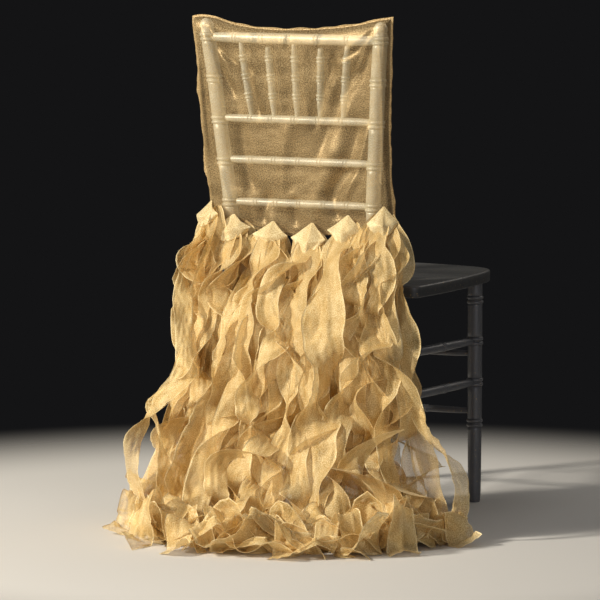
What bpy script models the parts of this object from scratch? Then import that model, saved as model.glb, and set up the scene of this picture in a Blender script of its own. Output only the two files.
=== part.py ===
# A sheer chair back cover with six bunches of curly ribbon, on a spindle-back banquet chair.
# Metres, +Z up. The chair faces +Y, so the cover's ribbon side looks to -Y. The floor is z = 0.

import math
import random

import bmesh
import bpy
from mathutils import Vector
from mathutils.bvhtree import BVHTree

# Driving sizes of the chair
SEAT_TOP = 0.440
SEAT_THICK = 0.022
POST_R = 0.0135
FINIAL_TOP = 0.915
RING_TOP = 0.8806
RING_PITCH = 0.0757
RING_HEIGHT = 0.0017
RING_HALF = 0.0052
TURNED_SIDES = 10
BAR_SIDES = 8
LEG_RINGS = (0.3806, 0.3035, 0.2264, 0.1493)
FRONT_LEG_X = 0.1905
FRONT_LEG_Y = 0.334
GAP = 0.0003

# Centreline of a rear post: height, half width of the back there, and depth
REAR_POST = (
    {"z": 0.000, "x": 0.188, "y": -0.0450},
    {"z": 0.155, "x": 0.173, "y": -0.0270},
    {"z": 0.300, "x": 0.156, "y": -0.0100},
    {"z": 0.440, "x": 0.1445, "y": -0.0020},
    {"z": 0.578, "x": 0.1440, "y": -0.0147},
    {"z": 0.653, "x": 0.1505, "y": -0.0227},
    {"z": 0.729, "x": 0.1575, "y": -0.0308},
    {"z": 0.805, "x": 0.1640, "y": -0.0389},
    {"z": 0.881, "x": 0.1725, "y": -0.0470},
    {"z": 0.915, "x": 0.1748, "y": -0.0506},
)

# Rails of the back: height above their ring, radius at the middle
RAILS = (
    {"name": "top_rail", "ring": 0, "lift": 0.0000, "r": 0.0095},
    {"name": "rail_2", "ring": 2, "lift": 0.0040, "r": 0.0072},
    {"name": "rail_3", "ring": 3, "lift": 0.0040, "r": 0.0072},
    {"name": "rail_4", "ring": 4, "lift": 0.0020, "r": 0.0072},
)
SPINDLES = 5
SPINDLE_PITCH_TOP = 0.0535
SPINDLE_PITCH_LOW = 0.0460
SPINDLE_RINGS = (0.28, 0.53, 0.78)

# Edge of the seat's right half, from the middle of its back round to the middle of its front.
# The back corners reach past the posts on their outer side.
SEAT_OUTLINE = (
    {"x": 0.060, "y": 0.0125},
    {"x": 0.1590, "y": 0.0125},
    {"x": 0.1598, "y": -0.0150},
    {"x": 0.222, "y": -0.0180},
    {"x": 0.233, "y": -0.0080},
    {"x": 0.239, "y": 0.068},
    {"x": 0.241, "y": 0.151},
    {"x": 0.239, "y": 0.217},
    {"x": 0.235, "y": 0.280},
    {"x": 0.229, "y": 0.318},
    {"x": 0.213, "y": 0.345},
    {"x": 0.180, "y": 0.361},
    {"x": 0.134, "y": 0.371},
    {"x": 0.060, "y": 0.380},
)

# Cover: cloth thickness, its stand-off from the posts and the width of the sewn edge
CLOTH = 0.0015
STAND_OFF = 0.0185
SEAM_WIDTH = 0.004
SEAM_LEAF = CLOTH / 2 + GAP / 2
SHOULDER = 0.026

# Where the two side seams hang
SIDE_SEAMS = (
    {"z": 0.50, "left": 0.182, "right": 0.186},
    {"z": 0.57, "left": 0.186, "right": 0.187},
    {"z": 0.62, "left": 0.190, "right": 0.184},
    {"z": 0.67, "left": 0.194, "right": 0.185},
    {"z": 0.73, "left": 0.196, "right": 0.186},
    {"z": 0.79, "left": 0.198, "right": 0.191},
    {"z": 0.85, "left": 0.199, "right": 0.194},
    {"z": 0.90, "left": 0.203, "right": 0.198},
    {"z": 0.93, "left": 0.203, "right": 0.199},
)

# The top seam sags between the finials
TOP_SEAM = (
    {"x": -0.204, "z": 0.9180},
    {"x": -0.190, "z": 0.9205},
    {"x": -0.172, "z": 0.9205},
    {"x": -0.150, "z": 0.9165},
    {"x": -0.115, "z": 0.907},
    {"x": -0.060, "z": 0.9005},
    {"x": 0.000, "z": 0.9000},
    {"x": 0.060, "z": 0.9030},
    {"x": 0.120, "z": 0.9100},
    {"x": 0.172, "z": 0.9205},
    {"x": 0.199, "z": 0.9250},
)
HEM_LOW = 0.522
HEM_RISE = 0.047
HEM_HALF = 0.200

# Pulled folds of the back panel: the two ends of each ridge, its height and half width
FOLDS = (
    {"from": (-0.160, 0.885), "to": (-0.105, 0.800), "height": 0.0050, "half": 0.016},
    {"from": (0.165, 0.895), "to": (0.090, 0.835), "height": 0.0045, "half": 0.016},
    {"from": (0.095, 0.690), "to": (0.040, 0.565), "height": 0.0050, "half": 0.024},
    {"from": (-0.120, 0.600), "to": (-0.040, 0.540), "height": 0.0045, "half": 0.018},
    {"from": (-0.010, 0.600), "to": (0.030, 0.540), "height": 0.0045, "half": 0.018},
)
BACK_COLUMNS = 16
FRONT_COLUMNS = 8

# Bunches: place on the hem, height of the apex over it, half width of the head,
# the way that the head faces (degrees from +X) and the strips in each layer
BUNCHES = (
    {"name": "bunch_1", "x": -0.185, "rise": 0.024, "half": 0.022, "face": 247, "lanes": (2, 2, 2, 2)},
    {"name": "bunch_2", "x": -0.130, "rise": 0.016, "half": 0.031, "face": 268, "lanes": (2, 2, 2, 2)},
    {"name": "bunch_3", "x": -0.054, "rise": 0.023, "half": 0.033, "face": 269, "lanes": (2, 2, 2, 2)},
    {"name": "bunch_4", "x": 0.023, "rise": 0.026, "half": 0.033, "face": 270, "lanes": (2, 2, 2, 2)},
    {"name": "bunch_5", "x": 0.099, "rise": 0.031, "half": 0.032, "face": 272, "lanes": (2, 2, 2, 2)},
    {"name": "bunch_6", "x": 0.170, "rise": 0.027, "half": 0.025, "face": 290, "lanes": (2, 2, 2, 2)},
)

# The way that the strips fan out from each place along the hem (degrees) and their reach
FAN = (
    {"x": -0.200, "aim": 232, "reach": 0.20},
    {"x": -0.165, "aim": 240, "reach": 0.24},
    {"x": -0.130, "aim": 246, "reach": 0.31},
    {"x": -0.054, "aim": 261, "reach": 0.41},
    {"x": 0.023, "aim": 271, "reach": 0.42},
    {"x": 0.099, "aim": 284, "reach": 0.40},
    {"x": 0.145, "aim": 300, "reach": 0.33},
    {"x": 0.190, "aim": 330, "reach": 0.25},
)

# The folded head of a bunch: height under its apex, share of its half width, depth
HEAD = (
    {"drop": 0.000, "half": 0.12, "deep": 0.0050},
    {"drop": 0.012, "half": 0.52, "deep": 0.0085},
    {"drop": 0.025, "half": 0.98, "deep": 0.0120},
    {"drop": 0.034, "half": 1.00, "deep": 0.0150},
    {"drop": 0.037, "half": 0.90, "deep": 0.0135},
    {"drop": 0.050, "half": 0.88, "deep": 0.0140},
)
ROOT_DROP = 0.036

# How a strip travels: share of the height left, share of the reach, share of the full width,
# and how far its swing has opened
TRAVEL = (
    {"high": 1.000, "out": 0.000, "wide": 0.30, "swing": 0.0},
    {"high": 0.940, "out": 0.026, "wide": 0.36, "swing": 0.0},
    {"high": 0.860, "out": 0.075, "wide": 0.52, "swing": 0.0},
    {"high": 0.740, "out": 0.155, "wide": 0.78, "swing": 0.2},
    {"high": 0.600, "out": 0.255, "wide": 0.96, "swing": 0.7},
    {"high": 0.440, "out": 0.360, "wide": 1.00, "swing": 1.0},
    {"high": 0.290, "out": 0.465, "wide": 1.00, "swing": 1.0},
    {"high": 0.160, "out": 0.570, "wide": 1.00, "swing": 0.7},
    {"high": 0.070, "out": 0.650, "wide": 1.00, "swing": 0.25},
    {"high": 0.012, "out": 0.715, "wide": 1.00, "swing": 0.0},
    {"high": 0.080, "out": 0.785, "wide": 1.00, "swing": 0.0},
    {"high": 0.100, "out": 0.820, "wide": 1.00, "swing": 0.0},
    {"high": 0.060, "out": 0.862, "wide": 1.00, "swing": 0.0},
    {"high": 0.004, "out": 0.905, "wide": 1.00, "swing": 0.0},
    {"high": 0.000, "out": 1.000, "wide": 1.00, "swing": 0.0},
)
SECTIONS = 23
TOUCHDOWN = 9
HANGING_END = 8.4
LYING_REACH = 0.16
BULGE = 0.022

# Layers of strips in a bunch, outside first: depth in the root, share of the reach, width,
# size of the loop on the floor, first turn (degrees)
LAYERS = (
    {"root": 0.0100, "out": 1.00, "wide": 0.060, "loop": 1.0, "turn": 0},
    {"root": 0.0077, "out": 0.70, "wide": 0.056, "loop": 0.7, "turn": 90},
    {"root": 0.0054, "out": 0.44, "wide": 0.046, "loop": 0.4, "turn": 180},
    {"root": 0.0031, "out": 0.20, "wide": 0.042, "loop": 0.0, "turn": 270},
)
STRIP_THICK = 0.0012
STRIP_CLEAR = 0.0005
STRIP_SHINGLE = math.radians(18)
STRIP_SWING = math.radians(72)
STRIP_SWAY = 0.009
STRIP_TURN = 0.330
LANE_TURN = 9
TRIALS = 120

COLOURS = {
    "lacquered_wood": {"colour": (0.10, 0.105, 0.11, 1), "rough": 0.38, "metal": 0.55},
    "gold_organza": {"colour": (0.62, 0.43, 0.19, 1), "rough": 0.45, "metal": 0.0},
    "gold_organza_strip": {"colour": (0.72, 0.50, 0.22, 1), "rough": 0.45, "metal": 0.0},
}


def clear_scene():
    for obj in list(bpy.data.objects):
        bpy.data.objects.remove(obj, do_unlink=True)


def material(name):
    if name in bpy.data.materials:
        return bpy.data.materials[name]
    look = COLOURS[name]
    made = bpy.data.materials.new(name)
    made.use_nodes = True
    shader = made.node_tree.nodes["Principled BSDF"]
    shader.inputs["Base Color"].default_value = look["colour"]
    shader.inputs["Roughness"].default_value = look["rough"]
    shader.inputs["Metallic"].default_value = look["metal"]
    return made


def read_table(table, key, value, at):
    """Value of a table column at a place between its rows, by a smooth curve through them."""
    rows = sorted(table, key=lambda row: row[key])
    if at <= rows[0][key]:
        return rows[0][value]
    if at >= rows[-1][key]:
        return rows[-1][value]
    i = max(k for k in range(len(rows) - 1) if rows[k][key] <= at)
    a, b = rows[i], rows[i + 1]
    before, after = rows[max(i - 1, 0)], rows[min(i + 2, len(rows) - 1)]
    span = b[key] - a[key]
    t = (at - a[key]) / span
    slope_a = (b[value] - before[value]) / (b[key] - before[key]) * span
    slope_b = (after[value] - a[value]) / (after[key] - a[key]) * span
    return (
        (2 * t**3 - 3 * t**2 + 1) * a[value]
        + (t**3 - 2 * t**2 + t) * slope_a
        + (-2 * t**3 + 3 * t**2) * b[value]
        + (t**3 - t**2) * slope_b
    )


def smooth(t):
    t = min(max(t, 0.0), 1.0)
    return t * t * (3 - 2 * t)


def new_object(name, points, faces, finish, round_piece):
    mesh = bpy.data.meshes.new(name)
    mesh.from_pydata([tuple(p) for p in points], [], faces)
    shape = bmesh.new()
    shape.from_mesh(mesh)
    bmesh.ops.recalc_face_normals(shape, faces=shape.faces)
    shape.to_mesh(mesh)
    shape.free()
    obj = bpy.data.objects.new(name, mesh)
    bpy.context.scene.collection.objects.link(obj)
    mesh.materials.append(material(finish))
    if round_piece:
        mesh.shade_smooth()
        mesh.set_sharp_from_angle(angle=math.radians(50))
    return obj


def skin_faces(sections, count):
    """Triangles of the skin over rings of points, split alike on the two faces of a strip."""
    faces = []
    for k in range(sections - 1):
        for i in range(count):
            a, b = k * count + i, k * count + (i + 1) % count
            if i < count / 2:
                faces.append((a, b, b + count))
                faces.append((a, b + count, a + count))
            else:
                faces.append((a, b, a + count))
                faces.append((b, b + count, a + count))
    return faces


def lofted(name, rings, finish, round_piece=True):
    """Closed body through rings of equally many points, capped at both ends."""
    count = len(rings[0])
    points = [p for ring in rings for p in ring]
    faces = skin_faces(len(rings), count)
    faces.append(tuple(range(count)))
    faces.append(tuple((len(rings) - 1) * count + i for i in range(count)))
    return new_object(name, points, faces, finish, round_piece)


def circle(centre, across, up, r, sides):
    return [
        centre
        + across * (r * math.cos(2 * math.pi * (i + 0.5) / sides))
        + up * (r * math.sin(2 * math.pi * (i + 0.5) / sides))
        for i in range(sides)
    ]


def rear_post_centre(side, z):
    x = read_table(REAR_POST, "z", "x", z)
    y = read_table(REAR_POST, "z", "y", z)
    return Vector((side * x, y, z))


def with_rings(profile, rings, base):
    """Adds a low raised ring at each given height to a turned profile of (height, radius)."""
    out = [row for row in profile if all(abs(row[0] - c) > RING_HALF * 1.5 for c in rings)]
    for c in rings:
        out.append((c - RING_HALF, base))
        out.append((c - RING_HALF * 0.6, base + RING_HEIGHT))
        out.append((c + RING_HALF * 0.6, base + RING_HEIGHT))
        out.append((c + RING_HALF, base))
    return sorted(out)


def upright(name, centre_at, profile):
    """Turned post whose rings lie level, along a leaning centreline."""
    x_axis, y_axis = Vector((1, 0, 0)), Vector((0, 1, 0))
    rings = [circle(centre_at(z), x_axis, y_axis, r, TURNED_SIDES) for z, r in profile]
    return lofted(name, rings, "lacquered_wood")


def turned_bar(name, start, end, profile, fit_start=None, fit_end=None):
    """Turned bar between two points; its ends follow the lean of the posts they meet, or lie level.

    The profile gives (share of the length, radius).
    """
    along = (end - start).normalized()
    side = along.orthogonal() if abs(along.z) > 0.9 else along.cross(Vector((0, 0, 1)))
    side.normalize()
    up = side.cross(along).normalized()
    rings = [circle(start.lerp(end, t), side, up, r, BAR_SIDES) for t, r in profile]
    for ring, at, fit in ((rings[0], start, fit_start), (rings[-1], end, fit_end)):
        for p in ring:
            if fit:
                p += along * (fit(p.z) - fit(at.z)).dot(along)
            else:
                p += along * ((at.z - p.z) / along.z)
    return lofted(name, rings, "lacquered_wood")


def bar_between(name, from_post, to_post, z, hold, profile):
    """Level bar between two uprights, held off their centrelines."""
    start, end = from_post(z), to_post(z)
    along = (end - start).normalized()
    turned_bar(name, start + along * hold, end - along * hold, profile, from_post, to_post)


def left_post(z):
    return rear_post_centre(-1, z)


def right_post(z):
    return rear_post_centre(1, z)


def left_leg(z):
    return Vector((-FRONT_LEG_X, FRONT_LEG_Y, z))


def right_leg(z):
    return Vector((FRONT_LEG_X, FRONT_LEG_Y, z))


def build_uprights():
    back_rings = [RING_TOP - RING_PITCH * k for k in range(5)]
    rear = [(0.0, 0.0105), (0.02, 0.0120), (0.10, 0.0130), (0.44, POST_R), (0.52, POST_R)]
    rear += [(0.8985, 0.0130), (0.9070, 0.0118), (FINIAL_TOP - 0.0025, 0.0080), (FINIAL_TOP, 0.0035)]
    rear = with_rings(rear, list(LEG_RINGS) + back_rings, POST_R)
    upright("rear_post_left", left_post, rear)
    upright("rear_post_right", right_post, rear)
    front = [(0.0, 0.0100), (0.02, 0.0118), (0.10, 0.0128), (SEAT_TOP - SEAT_THICK - GAP, POST_R)]
    front = with_rings(front, LEG_RINGS, POST_R)
    upright("front_leg_left", left_leg, front)
    upright("front_leg_right", right_leg, front)


def build_seat():
    right = [(row["x"], row["y"]) for row in SEAT_OUTLINE]
    outline = right + [(-x, y) for x, y in reversed(right)]
    rings = [[Vector((x, y, z)) for x, y in outline] for z in (SEAT_TOP - SEAT_THICK, SEAT_TOP)]
    lofted("seat", rings, "lacquered_wood", round_piece=False)


def rail_height(rail):
    return RING_TOP - RING_PITCH * rail["ring"] + rail["lift"]


def build_rails():
    on_flat = math.cos(math.pi / TURNED_SIDES)
    ringed = (POST_R + RING_HEIGHT) * on_flat + GAP
    plain = POST_R * on_flat + GAP
    for rail in RAILS:
        r = rail["r"]
        profile = [(0.0, r * 0.78), (0.05, r), (0.95, r), (1.0, r * 0.78)]
        bar_between(rail["name"], left_post, right_post, rail_height(rail), ringed, profile)
    thin = [(0.0, 0.0046), (0.10, 0.0060), (0.9, 0.0060), (1.0, 0.0046)]
    thick = [(0.0, 0.0056), (0.10, 0.0075), (0.5, 0.0080), (0.9, 0.0075), (1.0, 0.0056)]
    for z, level in ((0.279, "upper"), (0.171, "lower")):
        bar_between(f"front_stretcher_{level}", left_leg, right_leg, z, plain, thin)
        bar_between(f"back_stretcher_{level}", left_post, right_post, z, plain, thin)
    at_vertex = POST_R + RING_HEIGHT + GAP
    for z, level in ((LEG_RINGS[1], "upper"), (LEG_RINGS[2], "lower")):
        bar_between(f"side_stretcher_left_{level}", left_post, left_leg, z, at_vertex, thick)
        bar_between(f"side_stretcher_right_{level}", right_post, right_leg, z, at_vertex, thick)


def build_spindles():
    on_flat = math.cos(math.pi / BAR_SIDES)
    high = rail_height(RAILS[0]) - RAILS[0]["r"] * on_flat - GAP
    low = rail_height(RAILS[1]) + RAILS[1]["r"] * on_flat + GAP
    profile = [(0.0, 0.0046), (0.12, 0.0058), (0.9, 0.0058), (1.0, 0.0046)]
    for t in SPINDLE_RINGS:
        profile += [(t - 0.035, 0.0062), (t, 0.0078), (t + 0.035, 0.0062)]
    for k in range(SPINDLES):
        place = k - (SPINDLES - 1) / 2
        foot = Vector((place * SPINDLE_PITCH_LOW, right_post(low).y, low))
        head = Vector((place * SPINDLE_PITCH_TOP, right_post(high).y, high))
        turned_bar(f"spindle_{k + 1}", foot, head, sorted(profile))


def hem_height(x):
    return HEM_LOW + HEM_RISE * min(abs(x) / HEM_HALF, 1.0) ** 2


def seam_x(z, side):
    return side * read_table(SIDE_SEAMS, "z", "left" if side < 0 else "right", z)


def fold_height(x, z):
    """Outward lift of the back panel at its pulled folds."""
    lift = 0.0
    for fold in FOLDS:
        (x0, z0), (x1, z1) = fold["from"], fold["to"]
        dx, dz = x1 - x0, z1 - z0
        length = math.hypot(dx, dz)
        along = ((x - x0) * dx + (z - z0) * dz) / length**2
        off = abs((x - x0) * dz - (z - z0) * dx) / length
        fade = smooth(along * 3 + 0.6) * smooth((1 - along) * 3 + 0.6)
        lift += fold["height"] * fade * math.exp(-((off / fold["half"]) ** 2))
    return lift


def panel_x(column, z):
    """Sideways place of a panel column: across the flat, round the post, or in the seam."""
    side, zone, t = column
    post, edge = right_post(z).x, abs(seam_x(z, side)) - SEAM_WIDTH
    if zone == "flat":
        return side * post * t
    if zone == "arc":
        return side * (post + (edge - post) * t)
    return side * (edge + SEAM_WIDTH * t)


def panel_depth(x, z, top):
    """How far the cloth stands off the leaf of the seam, from 0 at the seams to 1."""
    side = -1 if x < 0 else 1
    post, edge = right_post(z).x, abs(seam_x(z, side)) - SEAM_WIDTH
    past = min(max((abs(x) - post) / (edge - post), 0.0), 1.0)
    arch = min(max((z - (top - SEAM_WIDTH - SHOULDER)) / SHOULDER, 0.0), 1.0)
    return (1 - past**2.5) ** 0.4, math.sqrt(1 - arch**2)


def panel_point(column, row, face):
    """Mid-cloth point of a panel: a column, and a row from 0 (top seam) to 1 (hem)."""
    x = column[0] * 0.18
    for _ in range(4):
        top = read_table(TOP_SEAM, "x", "z", x)
        z = top + (hem_height(x) - top) * row
        x = panel_x(column, z)
    return Vector((x, panel_y(x, z, top, face), z))


def panel_y(x, z, top, face):
    wrap, arch = panel_depth(x, z, top)
    deep = SEAM_LEAF + (STAND_OFF - SEAM_LEAF) * wrap * arch
    lift = fold_height(x, z) * wrap * arch if face < 0 else 0.0
    return right_post(z).y + face * (deep + lift)


def panel_columns(count):
    """Columns from seam to seam, closer together where the cloth wraps round the posts."""
    flat = [("flat", 2 * i / count - 1) for i in range(1, count)]
    columns = [(-1 if t < 0 else 1, zone, abs(t)) for zone, t in flat]
    wrapped = [("flat", 1.0), ("arc", 0.42), ("arc", 0.74), ("arc", 0.93), ("seam", 0.0), ("seam", 1.0)]
    left = [(-1, zone, t) for zone, t in reversed(wrapped)]
    right = [(1, zone, t) for zone, t in wrapped]
    return left + columns + right


def panel_rows(count):
    """Shares of the drop: the seam leaf, a round shoulder, then even rows to the hem."""
    top = [0.0, 0.0105, 0.019, 0.035, 0.055, 0.084]
    return top + [0.084 + (1 - 0.084) * (k + 1) / count for k in range(count)]


def build_panel(name, face, columns, rows):
    across, down = panel_columns(columns), panel_rows(rows)
    grid = [[panel_point(q, row, face) for q in across] for row in down]
    wide, tall = len(across), len(down)
    shells = []
    for offset in (CLOTH / 2, -CLOTH / 2):
        for j in range(tall):
            for i in range(wide):
                shells.append(grid[j][i] + panel_normal(grid, i, j, face) * offset)
    faces = []
    for layer in range(2):
        base = layer * wide * tall
        for j in range(tall - 1):
            for i in range(wide - 1):
                quad = [base + j * wide + i, base + j * wide + i + 1]
                quad += [base + (j + 1) * wide + i + 1, base + (j + 1) * wide + i]
                faces.append(quad if layer else quad[::-1])
    rim = [(0, i) for i in range(wide)] + [(j, wide - 1) for j in range(1, tall)]
    rim += [(tall - 1, i) for i in range(wide - 2, -1, -1)] + [(j, 0) for j in range(tall - 2, 0, -1)]
    for k, (j, i) in enumerate(rim):
        jn, i_next = rim[(k + 1) % len(rim)]
        a, b = j * wide + i, jn * wide + i_next
        faces.append([a, b, b + wide * tall, a + wide * tall])
    return new_object(name, shells, faces, "gold_organza", round_piece=True)


def panel_normal(grid, i, j, face):
    """Way out of the cloth at a grid point; straight out at the seam leaves, so that they lie flat."""
    tall, wide = len(grid), len(grid[0])
    if j <= 1 or i in (0, wide - 1):
        return Vector((0, face, 0))
    east = grid[j][min(i + 1, wide - 1)] - grid[j][max(i - 1, 0)]
    south = grid[min(j + 1, tall - 1)][i] - grid[max(j - 1, 0)][i]
    normal = east.cross(south).normalized()
    return normal if normal.y * face > 0 else -normal


def back_surface(x, z):
    """Outer face of the back panel's cloth at a place on it."""
    z = max(z, hem_height(x))
    return panel_y(x, z, read_table(TOP_SEAM, "x", "z", x), -1) - CLOTH / 2


def bunch_frame(bunch):
    """Apex of a bunch's head, the way out of it and the way across it."""
    turn = math.radians(bunch["face"])
    facing = Vector((math.cos(turn), math.sin(turn), 0))
    across = Vector((-facing.y, facing.x, 0))
    z = hem_height(bunch["x"]) + bunch["rise"]
    return Vector((bunch["x"], back_surface(bunch["x"], z), z)), facing, across


def seat_on_cloth(rings, cloth):
    """Shift that brings a head's inner face up to the cloth behind it."""
    gaps = []
    for upper, lower in zip(rings, rings[1:]):
        for level in range(5):
            left, right = upper[0].lerp(lower[0], level / 4), upper[1].lerp(lower[1], level / 4)
            for i in range(13):
                hit = cloth.ray_cast(left.lerp(right, i / 12), Vector((0, 1, 0)))
                if hit[0] is not None:
                    gaps.append(hit[3])
    return Vector((0, min(gaps) - GAP * 1.6, 0))


def build_head(bunch, cloth):
    apex, facing, across = bunch_frame(bunch)
    rings = []
    for row in HEAD:
        z = apex.z - row["drop"]
        half, deep = row["half"] * bunch["half"], row["deep"]
        clear = 0.0
        for i in range(-4, 5):
            along = across * (half * i / 4)
            for rise in (-0.008, 0.0, 0.008):
                clear = min(clear, back_surface(apex.x + along.x, z + rise) - (apex.y + along.y))
        seat = Vector((apex.x, apex.y + clear - GAP * 1.5, z))
        ring = [seat - across * half, seat + across * half]
        for share, far in ((0.97, 0.5), (0.52, 0.96), (-0.50, 1.0), (-0.97, 0.5)):
            ring.append(seat + across * half * share + facing * deep * far)
        rings.append(ring)
    shift = seat_on_cloth(rings, cloth)
    rings = [[p + shift for p in ring] for ring in rings]
    return lofted(bunch["name"], rings, "gold_organza_strip")


def strip_sections(bunch, lane, layer, nature, spare=0.0):
    """Sections of one curling strip from its root in the head to its loose end.

    The nature holds its own turn, reach, veer, loop and width. Spare widens and thickens it.
    """
    apex, facing, across = bunch_frame(bunch)
    kind = LAYERS[layer]
    rows = [dict(row, at=i) for i, row in enumerate(TRAVEL)]
    root = apex - Vector((0, 0, ROOT_DROP)) + facing * kind["root"] + across * (lane * bunch["half"] * 0.58)
    aim = read_table(FAN, "x", "aim", root.x)
    reach = read_table(FAN, "x", "reach", root.x) * kind["out"] * nature["reach"]
    last = len(TRAVEL) - 1 if reach > LYING_REACH else HANGING_END
    lift = STRIP_THICK / 2
    path = []
    for k in range(SECTIONS):
        step = k / (SECTIONS - 1) * last
        turn = math.radians(aim + nature["veer"] * smooth((step - 6) / 8))
        out = Vector((math.cos(turn), math.sin(turn), 0))
        high = max(read_table(rows, "at", "high", step), 0.0)
        if step > TOUCHDOWN:
            high *= nature["loop"] * kind["loop"]
        centre = Vector((root.x, root.y, lift + (root.z - lift) * high))
        centre += out * (reach * read_table(rows, "at", "out", step)) + facing * (BULGE * smooth(step / 4))
        path.append((step, centre, Vector((-out.y, out.x, 0))))
    rings = []
    for k, (step, centre, side) in enumerate(path):
        along = (path[min(k + 1, SECTIONS - 1)][1] - path[max(k - 1, 0)][1]).normalized()
        level = Vector((-along.y, along.x, 0))
        down = smooth((step - TOUCHDOWN + 2) / 2)
        if level.length > 0.3:
            side = (side * (1 - down) + level.normalized() * down).normalized()
        flat = along.cross(side).normalized()
        wide = read_table(rows, "at", "wide", step)
        swing = max(read_table(rows, "at", "swing", step), 0.0)
        cycle = 2 * math.pi * (path[0][1].z - centre.z) / STRIP_TURN + nature["turn"]
        shingle = STRIP_SHINGLE * smooth((wide - 0.4) / 0.4) * (1 - down)
        angle = shingle + swing * STRIP_SWING * (1 - math.cos(cycle))
        width_way = side * math.cos(angle) + flat * math.sin(angle)
        half = width_way * (kind["wide"] * nature["wide"] * wide / 2 + spare)
        thick = along.cross(width_way).normalized() * (STRIP_THICK / 2 + spare)
        middle = centre + side * (STRIP_SWAY * swing * math.cos(cycle))
        ring = [middle - half - thick, middle + half - thick, middle + half + thick, middle - half + thick]
        sunk = min(min(p.z for p in ring) + spare, 0.0)
        rings.append([p - Vector((0, 0, sunk)) for p in ring])
    return rings


def surface_tree(rings):
    """Search tree of a lofted body's skin."""
    return BVHTree.FromPolygons([p for ring in rings for p in ring], skin_faces(len(rings), len(rings[0])))


def crosses_itself(tree):
    """True where faces of sections that aren't neighbours meet; a section holds eight faces."""
    return any(abs(a // 8 - b // 8) > 1 for a, b in tree.overlap(tree))


def object_tree(obj):
    corners = [v.co for v in obj.data.vertices]
    return BVHTree.FromPolygons(corners, [tuple(p.vertices) for p in obj.data.polygons])


def strip_nature(name, lane_number, layer, trial):
    """One of the ways that a strip may curl; the first is the plain one."""
    dice = random.Random(f"{name}_{trial}")
    stray = min(trial, 8) / 8
    turn = LAYERS[layer]["turn"] + lane_number * LANE_TURN + dice.uniform(-170, 170) * stray
    return {
        "turn": math.radians(turn),
        "reach": 1 - dice.uniform(0.0, 0.05 + 0.10 * stray),
        "veer": dice.uniform(-12, 12),
        "loop": dice.uniform(0.3, 1.7),
        "wide": 1.0 - 0.3 * max(trial / TRIALS - 0.3, 0.0) / 0.7,
    }


def build_bunches():
    """Heads first, then strips from the outside in, each curled so that it clears all others."""
    solids = [object_tree(obj) for obj in bpy.data.objects if obj.type == "MESH"]
    cloth = object_tree(bpy.data.objects["back_panel"])
    heads = {bunch["name"]: build_head(bunch, cloth) for bunch in BUNCHES}
    head_trees = {name: object_tree(head) for name, head in heads.items()}
    hung = []
    for layer in range(len(LAYERS)):
        lane_number = 0
        for bunch in BUNCHES:
            lanes = bunch["lanes"][layer]
            for i in range(lanes):
                lane = 2 * i / (lanes - 1) - 1
                lane_number += 3 / lanes
                name = f"{bunch['name']}_strip_{layer + 1}_{i + 1}"
                blocks = solids + [tree for key, tree in head_trees.items() if key != bunch["name"]]
                hang_strip(bunch, heads[bunch["name"]], name, lane, layer, lane_number, blocks, hung)


def hang_strip(bunch, head, name, lane, layer, lane_number, blocks, hung):
    for trial in range(TRIALS):
        nature = strip_nature(name, lane_number, layer, trial)
        padded = strip_sections(bunch, lane, layer, nature, STRIP_CLEAR)
        whole, below = surface_tree(padded), surface_tree(padded[2:])
        if crosses_itself(whole):
            continue
        if any(whole.overlap(tree) for tree in blocks):
            continue
        if any(below.overlap(tree) for tree in hung):
            continue
        rings = strip_sections(bunch, lane, layer, nature)
        hung.append(surface_tree(rings[1:]))
        strip = lofted(name, rings, "gold_organza_strip")
        strip.hide_render = True
        strip.display_type = "WIRE"
        join = head.modifiers.new(name, "BOOLEAN")
        join.operation = "UNION"
        join.solver = "EXACT"
        join.object = strip
        return


def main():
    clear_scene()
    build_uprights()
    build_seat()
    build_rails()
    build_spindles()
    build_panel("back_panel", -1, BACK_COLUMNS, 9)
    build_panel("front_panel", 1, FRONT_COLUMNS, 6)
    build_bunches()


main()
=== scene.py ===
import math
import random

import bpy
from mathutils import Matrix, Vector, noise
from mathutils.bvhtree import BVHTree
from mathutils.kdtree import KDTree


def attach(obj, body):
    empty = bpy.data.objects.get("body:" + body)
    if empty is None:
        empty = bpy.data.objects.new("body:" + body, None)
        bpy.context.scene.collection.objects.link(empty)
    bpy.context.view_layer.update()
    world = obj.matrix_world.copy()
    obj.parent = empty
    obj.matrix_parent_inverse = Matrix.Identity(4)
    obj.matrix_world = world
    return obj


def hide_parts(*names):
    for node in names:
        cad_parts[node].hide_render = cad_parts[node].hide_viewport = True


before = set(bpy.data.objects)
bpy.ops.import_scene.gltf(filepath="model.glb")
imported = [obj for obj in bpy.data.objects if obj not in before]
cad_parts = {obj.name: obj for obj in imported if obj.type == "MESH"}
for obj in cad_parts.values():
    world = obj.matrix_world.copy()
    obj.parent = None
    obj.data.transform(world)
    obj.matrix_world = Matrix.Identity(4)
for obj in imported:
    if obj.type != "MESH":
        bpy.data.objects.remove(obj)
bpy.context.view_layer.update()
print("stage: frame loaded,", len(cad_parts), "nodes")

up = Vector((0, 0, 1))
fullTurn = 2 * math.pi
anyPhase = (0, 6.3)


# Small tools

def linear(code):
    parts = [int(code[i:i + 2], 16) / 255 for i in (0, 2, 4)]
    return [c / 12.92 if c <= 0.04045 else ((c + 0.055) / 1.055) ** 2.4 for c in parts] + [1.0]


# A pattern's scale from real sizes: so many marks in so many millimetres
def perMetre(marks, millimetres):
    return marks * 1000 / millimetres


def smooth(t):
    t = min(max(t, 0.0), 1.0)
    return t * t * (3 - 2 * t)


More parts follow.
